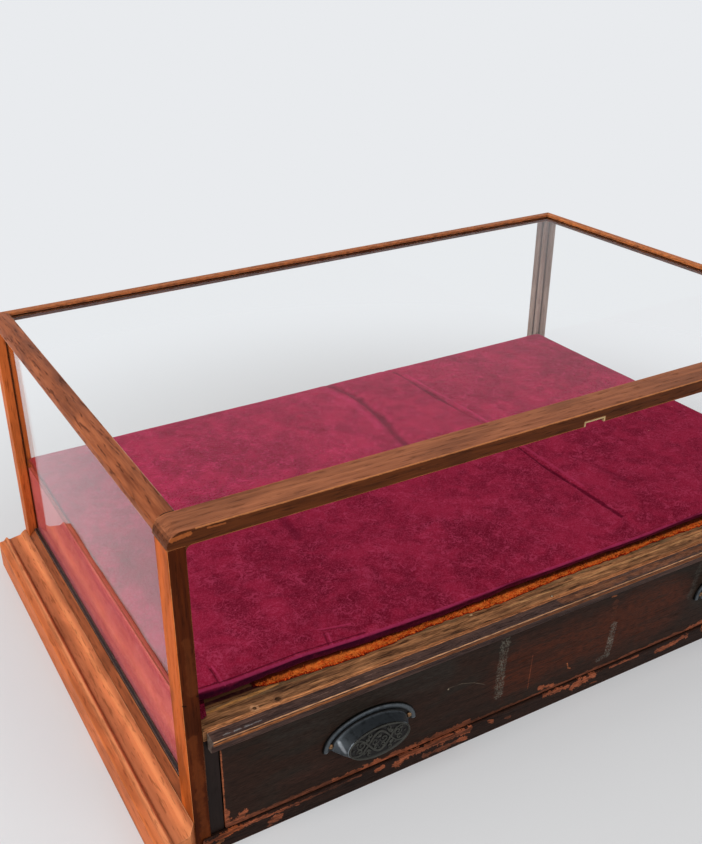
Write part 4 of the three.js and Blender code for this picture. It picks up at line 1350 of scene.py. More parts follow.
    # Painted light on the velvet: shade in the creases, highlights beside them and along the hem's
    # fold, and shade on the hem.
    crushed = paint(84, 6, 30)
    lifted = paint(176, 52, 88)
    ridge = paint(166, 50, 90)
    hem_shade = paint(44, 5, 16)
    velvet = VelvetFinish(
        "crimson_velvet", paint(106, 11, 34), paint(150, 29, 57), paint(192, 66, 100),
        paint(78, 16, 42), sunned=0.53,
        # Creases: painted shade in each valley and painted highlights beside it.
        strokes=marks(2, 0.0, (
            (((0.020, 0.280), (0.0330, 0.2116)), 0.0120, crushed, 0.75, 1.0, 50.0, 0.8),
            (((0.0330, 0.2116), (0.0280, 0.1426), (0.0105, 0.049)), 0.0095, crushed, 0.85, 1.0,
             50.0, 0.9),
            (((0.006, 0.262), (0.0170, 0.2116), (0.0080, 0.110)), 0.0080, lifted, 0.45, 1.0, 50.0,
             0.9),
            (((0.133, 0.272), (0.1374, 0.106), (0.143, 0.020), (0.1345, -0.080), (0.133, -0.225)),
             0.0038, crushed, 0.9, 1.0, 50.0, 0.7),
            (((0.142, 0.250), (0.149, 0.030), (0.1410, -0.150)), 0.0030, lifted, 0.6, 1.0, 50.0,
             0.8),
            (((-0.218, -0.020), (-0.224, -0.075)), 0.0090, crushed, 0.5, 1.0, 50.0, 0.8),
            (((0.192, -0.120), (0.199, -0.170)), 0.0080, crushed, 0.45, 1.0, 50.0, 0.8),
            (((-0.4026, -0.232), (-0.4015, -0.2600)), 0.0010, lifted, 0.85, 0.5),
            (((-0.4060, -0.236), (-0.4055, -0.2580)), 0.0016, crushed, 0.7, 0.5, 260.0, 0.6),
            (((-0.286, -0.2340), (-0.252, -0.2410)), 0.0011, lifted, 0.75, 0.5),
            (((-0.283, -0.2375), (-0.262, -0.2415)), 0.0016, crushed, 0.55, 0.5, 260.0, 0.6),
            (((-0.2795, -0.244), (-0.2835, -0.260)), 0.0010, lifted, 0.85, 0.5),
            (((-0.2835, -0.243), (-0.2875, -0.259)), 0.0014, crushed, 0.6, 0.5, 260.0, 0.6),
            (((-0.436, -0.2525), (-0.394, -0.2560), (-0.319, -0.2543), (-0.246, -0.2597)), 0.0015,
             crushed, 0.8, 0.7, 50.0, 0.6),
        )),
        # Hem: painted shade on its face and under its lip, and a painted highlight along its fold.
        edges=drawn((
            (((-0.440, -0.2580, 0.1650), (-0.310, -0.2600, 0.1650), (-0.215, -0.2655, 0.1650)),
             0.0056, paint(48, 9, 31), 0.95, 0.5, 50.0, 0.4),
            (((-0.440, -0.2580, 0.1592), (-0.310, -0.2595, 0.1592), (-0.215, -0.2645, 0.1604)),
             0.0028, hem_shade, 0.95, 0.5, 50.0, 0.4),
            (((-0.215, -0.2655, 0.1634), (-0.017, -0.2647, 0.1636), (0.120, -0.2660, 0.1636),
             (0.440, -0.2635, 0.1636)), 0.0060, hem_shade, 0.95, 0.5, 50.0, 0.25),
            (((-0.250, -0.2630, 0.1708), (-0.160, -0.2652, 0.1708), (-0.017, -0.2642, 0.1708),
             (0.120, -0.2655, 0.1708), (0.440, -0.2634, 0.1708)), 0.0021, ridge, 0.65, 0.5, 50.0,
             0.5),
            (((-0.440, -0.2562, 0.1710), (-0.394, -0.2592, 0.1708), (-0.319, -0.2588, 0.1708),
             (-0.250, -0.2630, 0.1708)), 0.0023, ridge, 0.8, 0.5, 50.0, 0.6),
        )),
    )
    lining = VelvetFinish(
        "lining_velvet", paint(204, 84, 92), paint(228, 110, 114), paint(240, 140, 142),
        paint(160, 44, 62), lint=0.0,
    )
    # The plush's last colour is the painted shadow under the velvet's hem.
    plush = PlushFinish(
        "orange_plush", paint(116, 20, 8), paint(236, 78, 22), paint(255, 138, 58), paint(56, 5, 13)
    )
    iron = ReliefFinish(
        "cast_iron", paint(82, 88, 93), paint(146, 154, 160), paint(15, 14, 14), 0.7, 0.3,
        foot=0.2945, crest=0.2959,
        # A painted highlight down the cup's lower left wall, and a line of painted shade where the
        # wall meets the panel.
        rubs=drawn((
            (((-0.2990, -0.2990, 0.0800), (-0.2972, -0.3080, 0.0746)), 0.0032, paint(178, 184, 190),
             0.8, 0.5, 260.0, 0.8),
            (((-0.2960, -0.3108, 0.0730), (-0.2950, -0.3116, 0.0600)), 0.0012, paint(10, 9, 9), 0.8,
             0.3, 260.0, 0.6),
        )),
    )
    relief = ReliefFinish(
        "cast_iron_relief", paint(52, 51, 45), paint(84, 84, 77), paint(16, 12, 10), 0.45, 0.4,
    )
    keep = ReliefFinish(
        "keep_brass", paint(196, 164, 112), paint(226, 204, 158), paint(84, 52, 32), 0.35, 0.42,
        foot=0.2885, crest=0.2918,
    )
    brass = MetalFinish(
        "old_brass", paint(136, 100, 68), paint(214, 184, 140), paint(58, 38, 26), 0.85, 0.32,
        0.0006, 0.00005,
    )
    putty = PuttyFinish("black_strip", paint(26, 22, 22), paint(150, 122, 104))
    glass = GlassFinish("clear_pane", (0.996, 1.0, 0.999, 1.0), 1.105)
    side_glass = GlassFinish("side_pane", (0.996, 1.0, 0.999, 1.0), 1.18)


def dress(finish: Finish, *names: str, arris: float = 0.0) -> None:
    """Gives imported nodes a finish, and rounds their arrises a little.

    Args:
        finish: the finish.
        names: the nodes' names.
        arris: the width of the rounding, or 0 for none.
    """
    material = finish.material()
    for name in names:
        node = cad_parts[name]
        for slot in node.material_slots:
            slot.link = "OBJECT"
            slot.material = material
        if arris:
            weld = node.modifiers.new("weld", "WELD")
            weld.merge_threshold = 0.00001
            bevel = node.modifiers.new("arris", "BEVEL")
            bevel.width = arris
            bevel.segments = 2
            bevel.limit_method = "ANGLE"
            bevel.angle_limit = math.radians(40)
        LOG.info("dressed %s with %s", name, material.name)


def place_piece(
    name: str,
    mesh: bpy.types.Mesh,
    body: Body,
    finish: Finish,
    stands_for: Sequence[str] = (),
) -> bpy.types.Object:
    """Puts a new piece into the scene.

    Args:
        name: the piece's name.
        mesh: its mesh, in the model's own axes.
        body: the body that it moves with.
        finish: its finish.
        stands_for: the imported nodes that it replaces.

    Returns:
        The piece.
    """
    mesh.materials.clear()
    mesh.materials.append(finish.material())
    for face in mesh.polygons:
        face.use_smooth = True
    piece = bpy.data.objects.new(name, mesh)
    bpy.context.scene.collection.objects.link(piece)
    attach(piece, body.value)
    if stands_for:
        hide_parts(*stands_for)
    LOG.info("built %s: %d faces on %s", name, len(mesh.polygons), body.value)
    return piece


def baked(piece: bpy.types.Object) -> bpy.types.Mesh:
    """The piece's mesh with its modifiers applied, as a new mesh."""
    graph = bpy.context.evaluated_depsgraph_get()
    return bpy.data.meshes.new_from_object(piece.evaluated_get(graph))


def mesh_from(name: str, shape: bmesh.types.BMesh) -> bpy.types.Mesh:
    """Turns a built shape into a mesh and frees it.

    Args:
        name: the mesh's name.
        shape: the shape.

    Returns:
        The mesh.
    """
    bmesh.ops.recalc_face_normals(shape, faces=shape.faces)
    mesh = bpy.data.meshes.new(name)
    shape.to_mesh(mesh)
    shape.free()
    return mesh


def tube(shape: bmesh.types.BMesh, outlines: Sequence[Sequence[Vector]]) -> None:
    """Joins closed outlines into a tube with closed ends.

    Args:
        shape: the shape that it goes into.
        outlines: the outlines' points, in order along the tube.
    """
    rows = [[shape.verts.new(point) for point in outline] for outline in outlines]
    for first, second in zip(rows, rows[1:]):
        for j, vertex in enumerate(first):
            k = (j + 1) % len(first)
            shape.faces.new((vertex, first[k], second[k], second[j]))
    shape.faces.new(rows[0])
    shape.faces.new(rows[-1][::-1])


def eased(stops: Sequence[tuple[float, float]], at: float) -> float:
    """Reads a value between stops, with smooth turns.

    Args:
        stops: places in rising order, each with its value.
        at: the place.

    Returns:
        The value there.
    """
    for (low, first), (high, second) in zip(stops, stops[1:]):
        if at <= high:
            share = max(0.0, (at - low) / (high - low))
            return first + (second - first) * share * share * (3 - 2 * share)
    return stops[-1][1]


@dataclass
class Assembly:
    """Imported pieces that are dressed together.

    Attributes:
        arris: how far their arrises are rounded.
    """

    arris: float = 0.0008

    def dress(self, finish: Finish, *names: str) -> None:
        """Gives some of the pieces a finish and rounded arrises."""
        dress(finish, *names, arris=self.arris)


@dataclass
class TimberFrame(Assembly):
    """The glazed frame: front posts, top rails and rear posts."""

    arris: float = 0.0009

    def build(self) -> None:
        """Dresses the frame."""
        for side in Side:
            self.dress(Finishes.post(side), f"front_post_{side.label}")
            rail = Finishes.side_rail if side is Side.LEFT else Finishes.right_rail
            self.dress(rail, f"top_rail_{side.label}")
            post = Finishes.rear_post_left if side is Side.LEFT else Finishes.rear_post
            self.dress(post, f"rear_post_{side.label}")
        self.dress(Finishes.front_rail, "top_rail_front")
        self.dress(Finishes.back_rail, "top_rail_back")


@dataclass
class Panes:
    """The four panes of glass."""

    def build(self) -> None:
        """Dresses the panes."""
        dress(Finishes.glass, "top_glass", "back_glass")
        dress(Finishes.side_glass, *(f"side_glass_{side.label}" for side in Side))


@dataclass
class Base(Assembly):
    """Sills, glazing strips and the planted side mouldings."""

    arris: float = 0.0007

    def build(self) -> None:
        """Dresses the base."""
        for side in Side:
            self.dress(Finishes.moulding, f"base_moulding_{side.label}")
            self.dress(Finishes.sill, f"base_rail_{side.label}")
            dress(Finishes.putty, f"glazing_strip_{side.label}")
        back = replace(Finishes.sill, name="back_sill_wood", grain=Grain.ALONG_X)
        self.dress(back, "base_rail_back")
        dress(Finishes.putty, "glazing_strip_back")


@dataclass
class Housing(Assembly):
    """The carcass round the drawer, and the rails and stiles of its front."""

    def build(self) -> None:
        """Dresses the housing."""
        self.dress(Finishes.bottom_rail, "bottom_rail_front")
        self.dress(Finishes.drawer_front, "drawer_head_rail")
        self.dress(Finishes.carcass, "carcass_back", "carcass_bottom")
        lengthwise = replace(Finishes.carcass, name="carcass_side_wood", grain=Grain.ALONG_Y)
        for side in Side:
            self.dress(Finishes.stile, f"front_stile_{side.label}")
            names = ["carcass_side", "drawer_runner", "drawer_kicker", "drawer_stop"]
            self.dress(lengthwise, *(f"{name}_{side.label}" for name in names))


@dataclass
class Ledge(Assembly):
    """The weathered ledge, its nosing, and the board under the display bed."""

    arris: float = 0.0009

    def build(self) -> None:
        """Dresses the ledge."""
        self.dress(Finishes.ledge, "ledge_board")
        self.dress(Finishes.nosing, "nosing")
        self.dress(Finishes.deck, "deck_board")


@dataclass(frozen=True)
class Crease:
    """A fold in the velvet, along a path of x and y.

    Attributes:
        path: the points that it follows.
        depth: how deep its valley is.
        width: half the valley's width.
        lift: how high the cloth stands beside it, as a share of the depth.
        sway: how far it wanders from the path.
    """

    path: tuple[tuple[float, float], ...]
    depth: float
    width: float = 0.0055
    lift: float = 0.55
    sway: float = 0.004

    @cached_property
    def span(self) -> tuple[float, float, float, float]:
        """The least and greatest x, and the least and greatest y of the path."""
        xs, ys = zip(*self.path)
        return min(xs), max(xs), min(ys), max(ys)

    def near(self, x: float, y: float, reach: float) -> bool:
        """Whether a point may be within reach of the fold."""
        left, right, front, back = self.span
        if not (left - reach < x < right + reach and front - reach < y < back + reach):
            return False
        return any(
            min(ax, bx) - reach < x < max(ax, bx) + reach
            and min(ay, by) - reach < y < max(ay, by) + reach
            for (ax, ay), (bx, by) in zip(self.path, self.path[1:])
        )

    def change(self, x: float, y: float) -> float:
        """How far the fold lifts or lowers a point of the top.

        Args:
            x: the point's place across.
            y: its place from front to back.

        Returns:
            The change of height.
        """
        if not self.near(x, y, 5 * self.width + self.sway):
            return 0.0
        gap, aside, share = 1.0, 0.0, 0.0
        parts = len(self.path) - 1
        for i, ((ax, ay), (bx, by)) in enumerate(zip(self.path, self.path[1:])):
            line = Vector((bx - ax, by - ay))
            away = Vector((x - ax, y - ay))
            along = min(1.0, max(0.0, away.dot(line) / line.length_squared))
            off = away - line * along
            if off.length < gap:
                gap = off.length
                aside = math.copysign(gap, away.x * line.y - away.y * line.x)
                share = (i + along) / parts
        fade = math.sin(math.pi * min(1.0, max(0.0, share))) ** 0.5
        aside += self.sway * noise.noise(Vector((x * 3, y * 20, self.depth * 900)))
        valley = math.exp(-((aside / self.width) ** 2))
        ridge = math.exp(-(((aside - 2 * self.width) / (1.4 * self.width)) ** 2))
        return self.depth * fade * (self.lift * ridge - valley)


@dataclass
class DisplayBed:
    """The padded velvet bed with its rolled front hem, and the velvet linings.

    Attributes:
        voxel: the size of the remeshed faces.
        pressure: how hard the stuffing pushes.
        frames: how many steps the cloth takes.
        reach: how far a point may move in them.
        lowered: how far the top sinks, so that the folds' ridges have room.
        edge: places across, each with how far behind the ledge's face the hem's fold lies.
        tuck: how far the bed's front stays behind the fold.
        fold: the height of the hem's fold.
        lip: the height of the hem's lower edge at the left and at the right.
        start: the size of the unstuffed bed, as a share of the pad's.
        drawn: how far behind its front the bed is drawn out with it.
        creases: the folds in the velvet.
    """

    voxel: float = 0.006
    pressure: float = 4.0
    frames: int = 20
    reach: float = 0.003
    lowered: float = 0.0014
    edge: tuple[tuple[float, float], ...] = (
        (-0.440, 0.0345), (-0.400, 0.0312), (-0.357, 0.0321), (-0.310, 0.0330),
        (-0.263, 0.0295), (-0.219, 0.0272), (-0.160, 0.0262), (-0.120, 0.0272),
        (-0.078, 0.0288), (-0.017, 0.0280), (0.044, 0.0271), (0.120, 0.0266),
        (0.221, 0.0290), (0.320, 0.0280), (0.440, 0.0295),
    )
    tuck: float = 0.0028
    fold: float = 0.1712
    lip: tuple[float, float] = (0.1584, 0.1620)
    start: Point = (0.9955, 0.994, 0.84)
    drawn: float = 0.034
    creases: tuple[Crease, ...] = (
        Crease(
            ((0.018, 0.290), (0.0287, 0.265), (0.0352, 0.2116), (0.0296, 0.1426), (0.0105, 0.040)),
            0.0046, 0.0075, 0.35,
        ),
        Crease(
            ((0.118, 0.300), (0.133, 0.272), (0.136, 0.2254), (0.1351, 0.1663), (0.1374, 0.106),
             (0.143, 0.054), (0.1403, -0.028), (0.1330, -0.082), (0.1337, -0.128),
             (0.1326, -0.174), (0.133, -0.235)),
            0.0034, 0.0042, 0.5, 0.003,
        ),
        Crease(((0.150, 0.200), (0.152, 0.120), (0.156, 0.040)), 0.0014, 0.0035, 0.5),
        Crease(((-0.215, -0.010), (-0.223, -0.080)), 0.0012, 0.0080, 0.3),
        Crease(((0.190, -0.110), (0.200, -0.175)), 0.0012, 0.0070, 0.3),
        Crease(((-0.4045, -0.228), (-0.4040, -0.262)), 0.0019, 0.0022, 1.0, 0.0),
        Crease(((-0.2815, -0.240), (-0.2850, -0.264)), 0.0015, 0.0020, 1.0, 0.0),
        Crease(((-0.286, -0.234), (-0.252, -0.243)), 0.0013, 0.0020, 0.9, 0.0),
        Crease(((-0.400, -0.2475), (-0.345, -0.2420), (-0.315, -0.2465)), 0.0010, 0.0022, 0.9, 0.0),
        Crease(((-0.240, -0.2490), (-0.170, -0.2520), (-0.110, -0.2515)), 0.0008, 0.0022, 0.9, 0.0),
    )

    def __post_init__(self) -> None:
        """Reads where the ledge's face is."""
        self.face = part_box("front_post_left")[0].y

    def stuff(self, piece: bpy.types.Object) -> None:
        """Lets the stuffing swell the bed, and caps how far each point moves.

        Args:
            piece: the bed.
        """
        cloth = piece.modifiers.new("stuffing", "CLOTH")
        cloth.settings.use_pressure = True
        cloth.settings.uniform_pressure_force = self.pressure
        cloth.settings.effector_weights.gravity = 0.0
        cloth.settings.quality = 4
        cloth.point_cache.frame_start = 1
        cloth.point_cache.frame_end = self.frames
        scene = bpy.context.scene
        for step in range(1, self.frames + 1):
            scene.frame_set(step)
        swollen = baked(piece)
        for vertex, moved in zip(piece.data.vertices, swollen.vertices):
            way = moved.co - vertex.co
            if way.length > self.reach:
                way.length = self.reach
            vertex.co += way
        piece.modifiers.remove(cloth)
        scene.frame_set(1)
        bpy.data.meshes.remove(swollen)

    def bed(self) -> None:
        """Builds the bed."""
        low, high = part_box("velvet_pad")
        middle = (low + high) / 2
        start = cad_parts["velvet_pad"].data.copy()
        scratch = bpy.data.objects.new("bed_start", start)
        bpy.context.scene.collection.objects.link(scratch)
        for vertex in start.vertices:
            away = vertex.co - middle
            vertex.co = middle + Vector([part * share for part, share in zip(away, self.start)])
        weld = scratch.modifiers.new("weld", "WELD")
        weld.merge_threshold = 0.00001
        remesh = scratch.modifiers.new("remesh", "REMESH")
        remesh.mode = "VOXEL"
        remesh.voxel_size = self.voxel
        scratch.data = baked(scratch)
        scratch.modifiers.clear()
        self.stuff(scratch)
        finer = scratch.modifiers.new("finer", "SUBSURF")
        finer.levels = finer.render_levels = 1
        mesh = baked(scratch)
        bpy.data.objects.remove(scratch)
        self.bring_forward(mesh)
        self.refine(mesh, low)
        self.shape(mesh, low, high)
        self.add_hem(mesh)
        piece = place_piece(
            "velvet_bed", mesh, Body.CASE, Finishes.velvet, ["velvet_pad"]
        )

    def edge_at(self, x: float) -> float:
        """Where the hem's fold lies at a place across, on the model's Y axis."""
        return self.face + eased(self.edge, x)

    def bring_forward(self, mesh: bpy.types.Mesh) -> None:
        """Draws the bed's front out to the line that the hem follows.

        Args:
            mesh: the bed's mesh.
        """
        strips = 40
        xs = [vertex.co.x for vertex in mesh.vertices]
        left, width = min(xs), max(xs) - min(xs)
        fronts = [1.0] * (strips + 1)
        for vertex in mesh.vertices:
            i = round((vertex.co.x - left) / width * strips)
            fronts[i] = min(fronts[i], vertex.co.y)
        fronts[0], fronts[-1] = fronts[1], fronts[-2]
        stops = tuple((left + width * i / strips, front) for i, front in enumerate(fronts))
        behind = max(fronts) + 0.1
        for vertex in mesh.vertices:
            if vertex.co.y < behind:
                front = eased(stops, vertex.co.x)
                gap = (vertex.co.y - front) / self.drawn
                pull = front - (self.edge_at(vertex.co.x) + self.tuck)
                vertex.co.y -= pull * math.exp(-gap * abs(gap))

    def refine(self, mesh: bpy.types.Mesh, low: Vector) -> None:
        """Splits the faces near the front edge and the folds, where the detail is narrow.

        Args:
            mesh: the bed's mesh.
            low: its lowest corner.
        """

        def fine(spot: Vector) -> bool:
            """Whether a point needs small faces."""
            if spot.z < low.z + 0.012:
                return False
            return any(crease.near(spot.x, spot.y, 0.012) for crease in self.creases)

        shape = bmesh.new()
        shape.from_mesh(mesh)
        wanted = {
            vertex for vertex in shape.verts if vertex.co.y < low.y + 0.028 or fine(vertex.co)
        }
        near = [edge for edge in shape.edges if all(vertex in wanted for vertex in edge.verts)]
        bmesh.ops.subdivide_edges(shape, edges=near, cuts=1, use_grid_fill=True, smooth=0.0)
        shape.to_mesh(mesh)
        shape.free()

    def shape(self, mesh: bpy.types.Mesh, low: Vector, high: Vector) -> None:
        """Adds the creases and the velvet's unevenness.

        Args:
            mesh: the bed's mesh.
            low: the bed's lowest corner.
            high: its highest corner.
        """
        points = [vertex.co for vertex in mesh.vertices]
        wider = (high.x - 0.0003) / max(point.x for point in points)
        deeper = (high.y - 0.0004) / max(point.y for point in points)
        sunk = min(point.z for point in points) - low.z - 0.0003
        for vertex in mesh.vertices:
            x, y, z = vertex.co
            top = max(0.0, min(1.0, (z - low.z - 0.010) / 0.006))
            x *= wider
            y *= deeper if y > 0 else 1.0
            z -= sunk * (1 - top)
            if top:
                change = sum(crease.change(x, y) for crease in self.creases) - self.lowered
                change += 0.0008 * noise.noise(Vector((x * 9, y * 9, 1.7)))
                change += 0.0003 * noise.noise(Vector((x * 60, y * 60, 5.7)))
                z += top * change
            vertex.co = (
                min(high.x, max(low.x, x)), min(high.y, y),
                min(high.z, max(low.z + 0.0002, z)),
            )

    def add_hem(self, mesh: bpy.types.Mesh) -> None:
        """Adds the rolled front hem and the loose scrap at its left end.

        Args:
            mesh: the bed's mesh.
        """
        shape = bmesh.new()
        self.roll(shape, self.surface(mesh))
        self.scrap(shape)
        bmesh.ops.recalc_face_normals(shape, faces=shape.faces)
        shape.from_mesh(mesh)
        shape.to_mesh(mesh)
        shape.free()

    def surface(self, mesh: bpy.types.Mesh) -> Callable[[float, float], float]:
        """Finds the bed's top.

        Args:
            mesh: the bed's mesh.

        Returns:
            What gives the top's height at x and y.
        """
        tree = BVHTree.FromPolygons(
            [vertex.co for vertex in mesh.vertices], [face.vertices for face in mesh.polygons]
        )
        half = max(vertex.co.x for vertex in mesh.vertices) - 0.004

        def height(x: float, y: float) -> float:
            """The top's height at a point, read just inside the bed's ends."""
            start = Vector((min(half, max(-half, x)), y, 1.0))
            found = tree.ray_cast(start, Vector((0, 0, -1)))[0]
            return found.z if found else self.fold

        return height

    def roll(self, shape: bmesh.types.BMesh, height: Callable[[float, float], float]) -> None:
        """Adds the hem: cloth that leaves the top, folds over the front and turns under.

        Args:
            shape: the shape that it goes into.
            height: what gives the height of the bed's top.
        """
        # How far behind the fold each point lies, and how far above the bed's top.
        over = ((0.0215, -0.0006), (0.0185, 0.0001), (0.0150, 0.0005), (0.0115, 0.0003),
                (0.0085, 0.0004))
        # How far behind the fold each point lies, and its share of the way down to the lip.
        face = ((0.0055, -0.03), (0.0030, -0.045), (0.0012, 0.04), (0.0002, 0.16), (0.0, 0.32),
                (0.0005, 0.48), (0.0013, 0.64), (0.0022, 0.80), (0.0034, 0.93), (0.0048, 1.0),
                (0.0068, 0.99), (0.0090, 0.86), (0.0120, 0.5), (0.0160, 0.36))
        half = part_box("velvet_pad")[1].x - 0.0024
        steps = 520
        rows = []
        for i in range(steps + 1):
            x = -half + 2 * half * i / steps
            bunch = noise.noise(Vector((x * 30, 3.1, 0.4)))
            small = noise.noise(Vector((x * 95, 7.7, 1.9)))
            line = self.edge_at(x) + 0.0010 * bunch + 0.0003 * small
            lip = eased(((-0.16, self.lip[0]), (0.03, self.lip[1])), x)
            lip += 0.0011 * noise.noise(Vector((x * 21, 0.7, 9.2))) + 0.0004 * small
            fold = self.fold + 0.0005 * noise.noise(Vector((x * 17, 5.5, 4.4)))
            row = [Vector((x, line + back, height(x, line + back) + rise)) for back, rise in over]
            for back, share in face:
                loose = 0.0016 * share * noise.noise(Vector((x * 38, share * 2.2, 6.1)))
                row.append(Vector((x, line + back + loose, fold - share * (fold - lip))))
            rows.append(row)
        tube(shape, rows)

    def scrap(self, shape: bmesh.types.BMesh) -> None:
        """Adds the scrap of velvet that hangs onto the ledge beside the left post.

        Args:
            shape: the shape that it goes into.
        """
        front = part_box("ledge_board")[0].y
        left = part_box("ledge_board")[0].x + 0.0016
        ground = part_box("ledge_board")[1].z + 0.0011
        top = self.edge_at(left) + 0.004
        steps, across = 14, 8
        grid = []
        for i in range(steps + 1):
            share = i / steps
            wide = 0.0160 - 0.0060 * share
            fall = max(0.0, 1 - share * 2.6) ** 1.5
            row = []
            for j in range(across + 1):
                x = left + wide * j / across
                y = top + (front + 0.0135 - top) * share + 0.0028 * (j / across) * share
                ripple = 0.0009 * (1 + noise.noise(Vector((x * 320, y * 160, 2.0))))
                row.append(shape.verts.new(Vector((x, y, ground + ripple + 0.0050 * fall))))
            grid.append(row)
        sheet = [
            shape.faces.new((first[j], second[j], second[j + 1], first[j + 1]))
            for first, second in zip(grid, grid[1:])
            for j in range(across)
        ]
        bmesh.ops.solidify(shape, geom=sheet, thickness=0.0006)

    def linings(self) -> None:
        """Builds the velvet-covered boards behind the panes."""
        for name in ("side_lining_left", "side_lining_right", "back_lining"):
            low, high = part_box(name)
            shape = bmesh.new()
            bmesh.ops.create_cube(shape, size=1.0)
            size = high - low
            for vertex in shape.verts:
                vertex.co = Vector(
                    (low + high) / 2 + Vector([c * s for c, s in zip(vertex.co, size)])
                )
            bmesh.ops.bevel(
                shape, geom=shape.edges[:], offset=0.0008, segments=2, affect="EDGES",
                profile=0.6,
            )
            bmesh.ops.subdivide_edges(
                shape, edges=[e for e in shape.edges if e.calc_length() > 0.05], cuts=24,
                use_grid_fill=True,
            )
            middle = (low + high) / 2
            thin = 0 if size.x < size.y else 1
            for vertex in shape.verts:
                ripple = 0.5 * (1 + noise.noise(vertex.co * 30))
                side = 1 if vertex.co[thin] > middle[thin] else -1
                vertex.co[thin] -= side * 0.0003 * ripple
            place_piece(
                f"velvet_{name}", mesh_from(name, shape), Body.CASE,
                Finishes.lining, [name],
            )

    def build(self) -> None:
        """Builds the bed and the linings."""
        self.bed()
        self.linings()


@dataclass
class PlushTrim:
    """The frayed plush between the ledge and the bed.

    Attributes:
        edge: places across, each with how far behind the ledge's face the plush starts.
        clumps: how many matted clumps stand along it.
        fibres: how many loose fibres lie on it.
        fibre: the length of a fibre.
        thickness: half its thickness at the root.
        tufts: places across where loose threads stand up.
        seed: what the places of the fibres are drawn from.
    """

    edge: tuple[tuple[float, float], ...] = (
        (-0.372, 0.0330), (-0.358, 0.0290), (-0.335, 0.0262), (-0.300, 0.0236), (-0.268, 0.0205),
        (-0.234, 0.0212), (-0.184, 0.0246), (-0.150, 0.0258), (-0.084, 0.0216), (-0.042, 0.0232),
        (0.003, 0.0250), (0.047, 0.0258), (0.098, 0.0246), (0.153, 0.0262), (0.200, 0.0250),
        (0.320, 0.0240), (0.440, 0.0250),
    )
    clumps: int = 1500
    fibres: int = 3600
    fibre: float = 0.0034
    thickness: float = 0.0005
    tufts: tuple[float, ...] = (-0.348, -0.176, -0.086, -0.020, 0.104, 0.246, 0.371)
    seed: int = 7

    def __post_init__(self) -> None:
        """Reads where the ledge's face is."""
        self.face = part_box("front_post_left")[0].y

    def front_at(self, x: float) -> float:
        """Where the plush starts at a place across, on the model's Y axis."""
        ragged = 0.0016 * noise.noise(Vector((x * 46, 0, 3.3)))
        ragged += 0.0011 * noise.noise(Vector((x * 130, 0, 8.3)))
        return self.face + eased(self.edge, x) + ragged

    def mat(self, shape: bmesh.types.BMesh, low: Vector, high: Vector) -> None:
        """Adds the matted ground of the strip.

        Args:
            shape: the shape that it goes into.
            low: the strip's lowest corner.
            high: its highest corner.
        """
        steps, parts = 620, 12
        rows = []
        for i in range(steps + 1):
            x = self.edge[0][0] + (high.x - self.edge[0][0]) * i / steps
            front = self.front_at(x)
            thick = (high.z - low.z) * 0.72 * min(1.0, 0.25 + (x - self.edge[0][0]) / 0.02)
            row = [Vector((x, high.y, low.z)), Vector((x, front, low.z))]
            for j in range(parts + 1):
                share = j / parts
                y = front + (high.y - front) * share
                rise = math.sin(math.pi * min(1.0, share * 3.2 + 0.08) / 2)
                lumps = 0.9 * noise.noise(Vector((x * 210, y * 210, 1)))
                lumps += 0.5 * noise.noise(Vector((x * 470, y * 470, 5)))
                height = thick * rise * max(0.25, 1 + 0.55 * lumps)
                row.append(Vector((x, y, low.z + 0.0002 + height)))
            rows.append(row)
        tube(shape, rows)

    def clump(self, shape: bmesh.types.BMesh, spot: Vector, size: float, turn: float) -> None:
        """Adds one matted clump of fibres.

        Args:
            shape: the shape that it goes into.
            spot: its foot.
            size: its radius.
            turn: which way it is turned.
        """
        made = bmesh.ops.create_icosphere(shape, subdivisions=1, radius=1.0)
        spin = Matrix.Rotation(turn, 3, "Z")
        for vertex in made["verts"]:
            rough = 1 + 0.45 * noise.noise(vertex.co * 2.1 + Vector((turn * 7, size * 900, 0)))
            point = spin @ Vector((vertex.co.x * 1.5, vertex.co.y * 0.85, vertex.co.z * 0.8))
            vertex.co = spot + point * size * rough
            vertex.co.z = max(vertex.co.z, spot.z)

    def tuft(self, shape: bmesh.types.BMesh, root: Vector, way: Vector, size: float) -> None:
        """Adds one curved, pointed fibre.

        Args:
            shape: the shape that it goes into.
            root: where it starts.
            way: the way it leans.
            size: its length.
        """
        wide = way.cross(Vector((0, 0, 1)))
        wide = (wide if wide.length > 0.1 else Vector((1, 0, 0))).normalized() * self.thickness
        middle = root + way * size * 0.55 + Vector((0, 0, size * 0.16))
        tip = root + way * size
        up = Vector((0, 0, self.thickness * 1.6))
        base = [shape.verts.new(p) for p in (root - wide, root + wide, root + up)]
        bend = [
            shape.verts.new(p)
            for p in (middle - wide * 0.7, middle + wide * 0.7, middle + up * 0.7)
        ]
        point = shape.verts.new(tip)
        for i in range(3):
            j = (i + 1) % 3
            shape.faces.new((base[i], base[j], bend[j], bend[i]))
            shape.faces.new((bend[i], bend[j], point))
        shape.faces.new(base[::-1])

    def stand_up(
        self, shape: bmesh.types.BMesh, middle: float, ground: float, chance: random.Random
    ) -> None:
        """Adds loose threads that stand up behind the strip's front edge.

        Args:
            shape: the shape that they go into.
            middle: their place across.
            ground: the height of the strip's underside.
            chance: what their places are drawn from.
        """
        for _ in range(90):
            x = middle + 0.0075 * (chance.random() + chance.random() - 1)
            y = self.front_at(x) + 0.0010 + 0.0060 * chance.random()
            lean = Vector(
                (chance.uniform(-0.9, 0.9), chance.uniform(-0.9, 0.4), chance.uniform(0.3, 0.9))
            ).normalized()
            root = Vector((x, y, ground + 0.0008 + 0.0008 * chance.random()))
            self.tuft(shape, root, lean, 0.0022 + 0.0022 * chance.random())

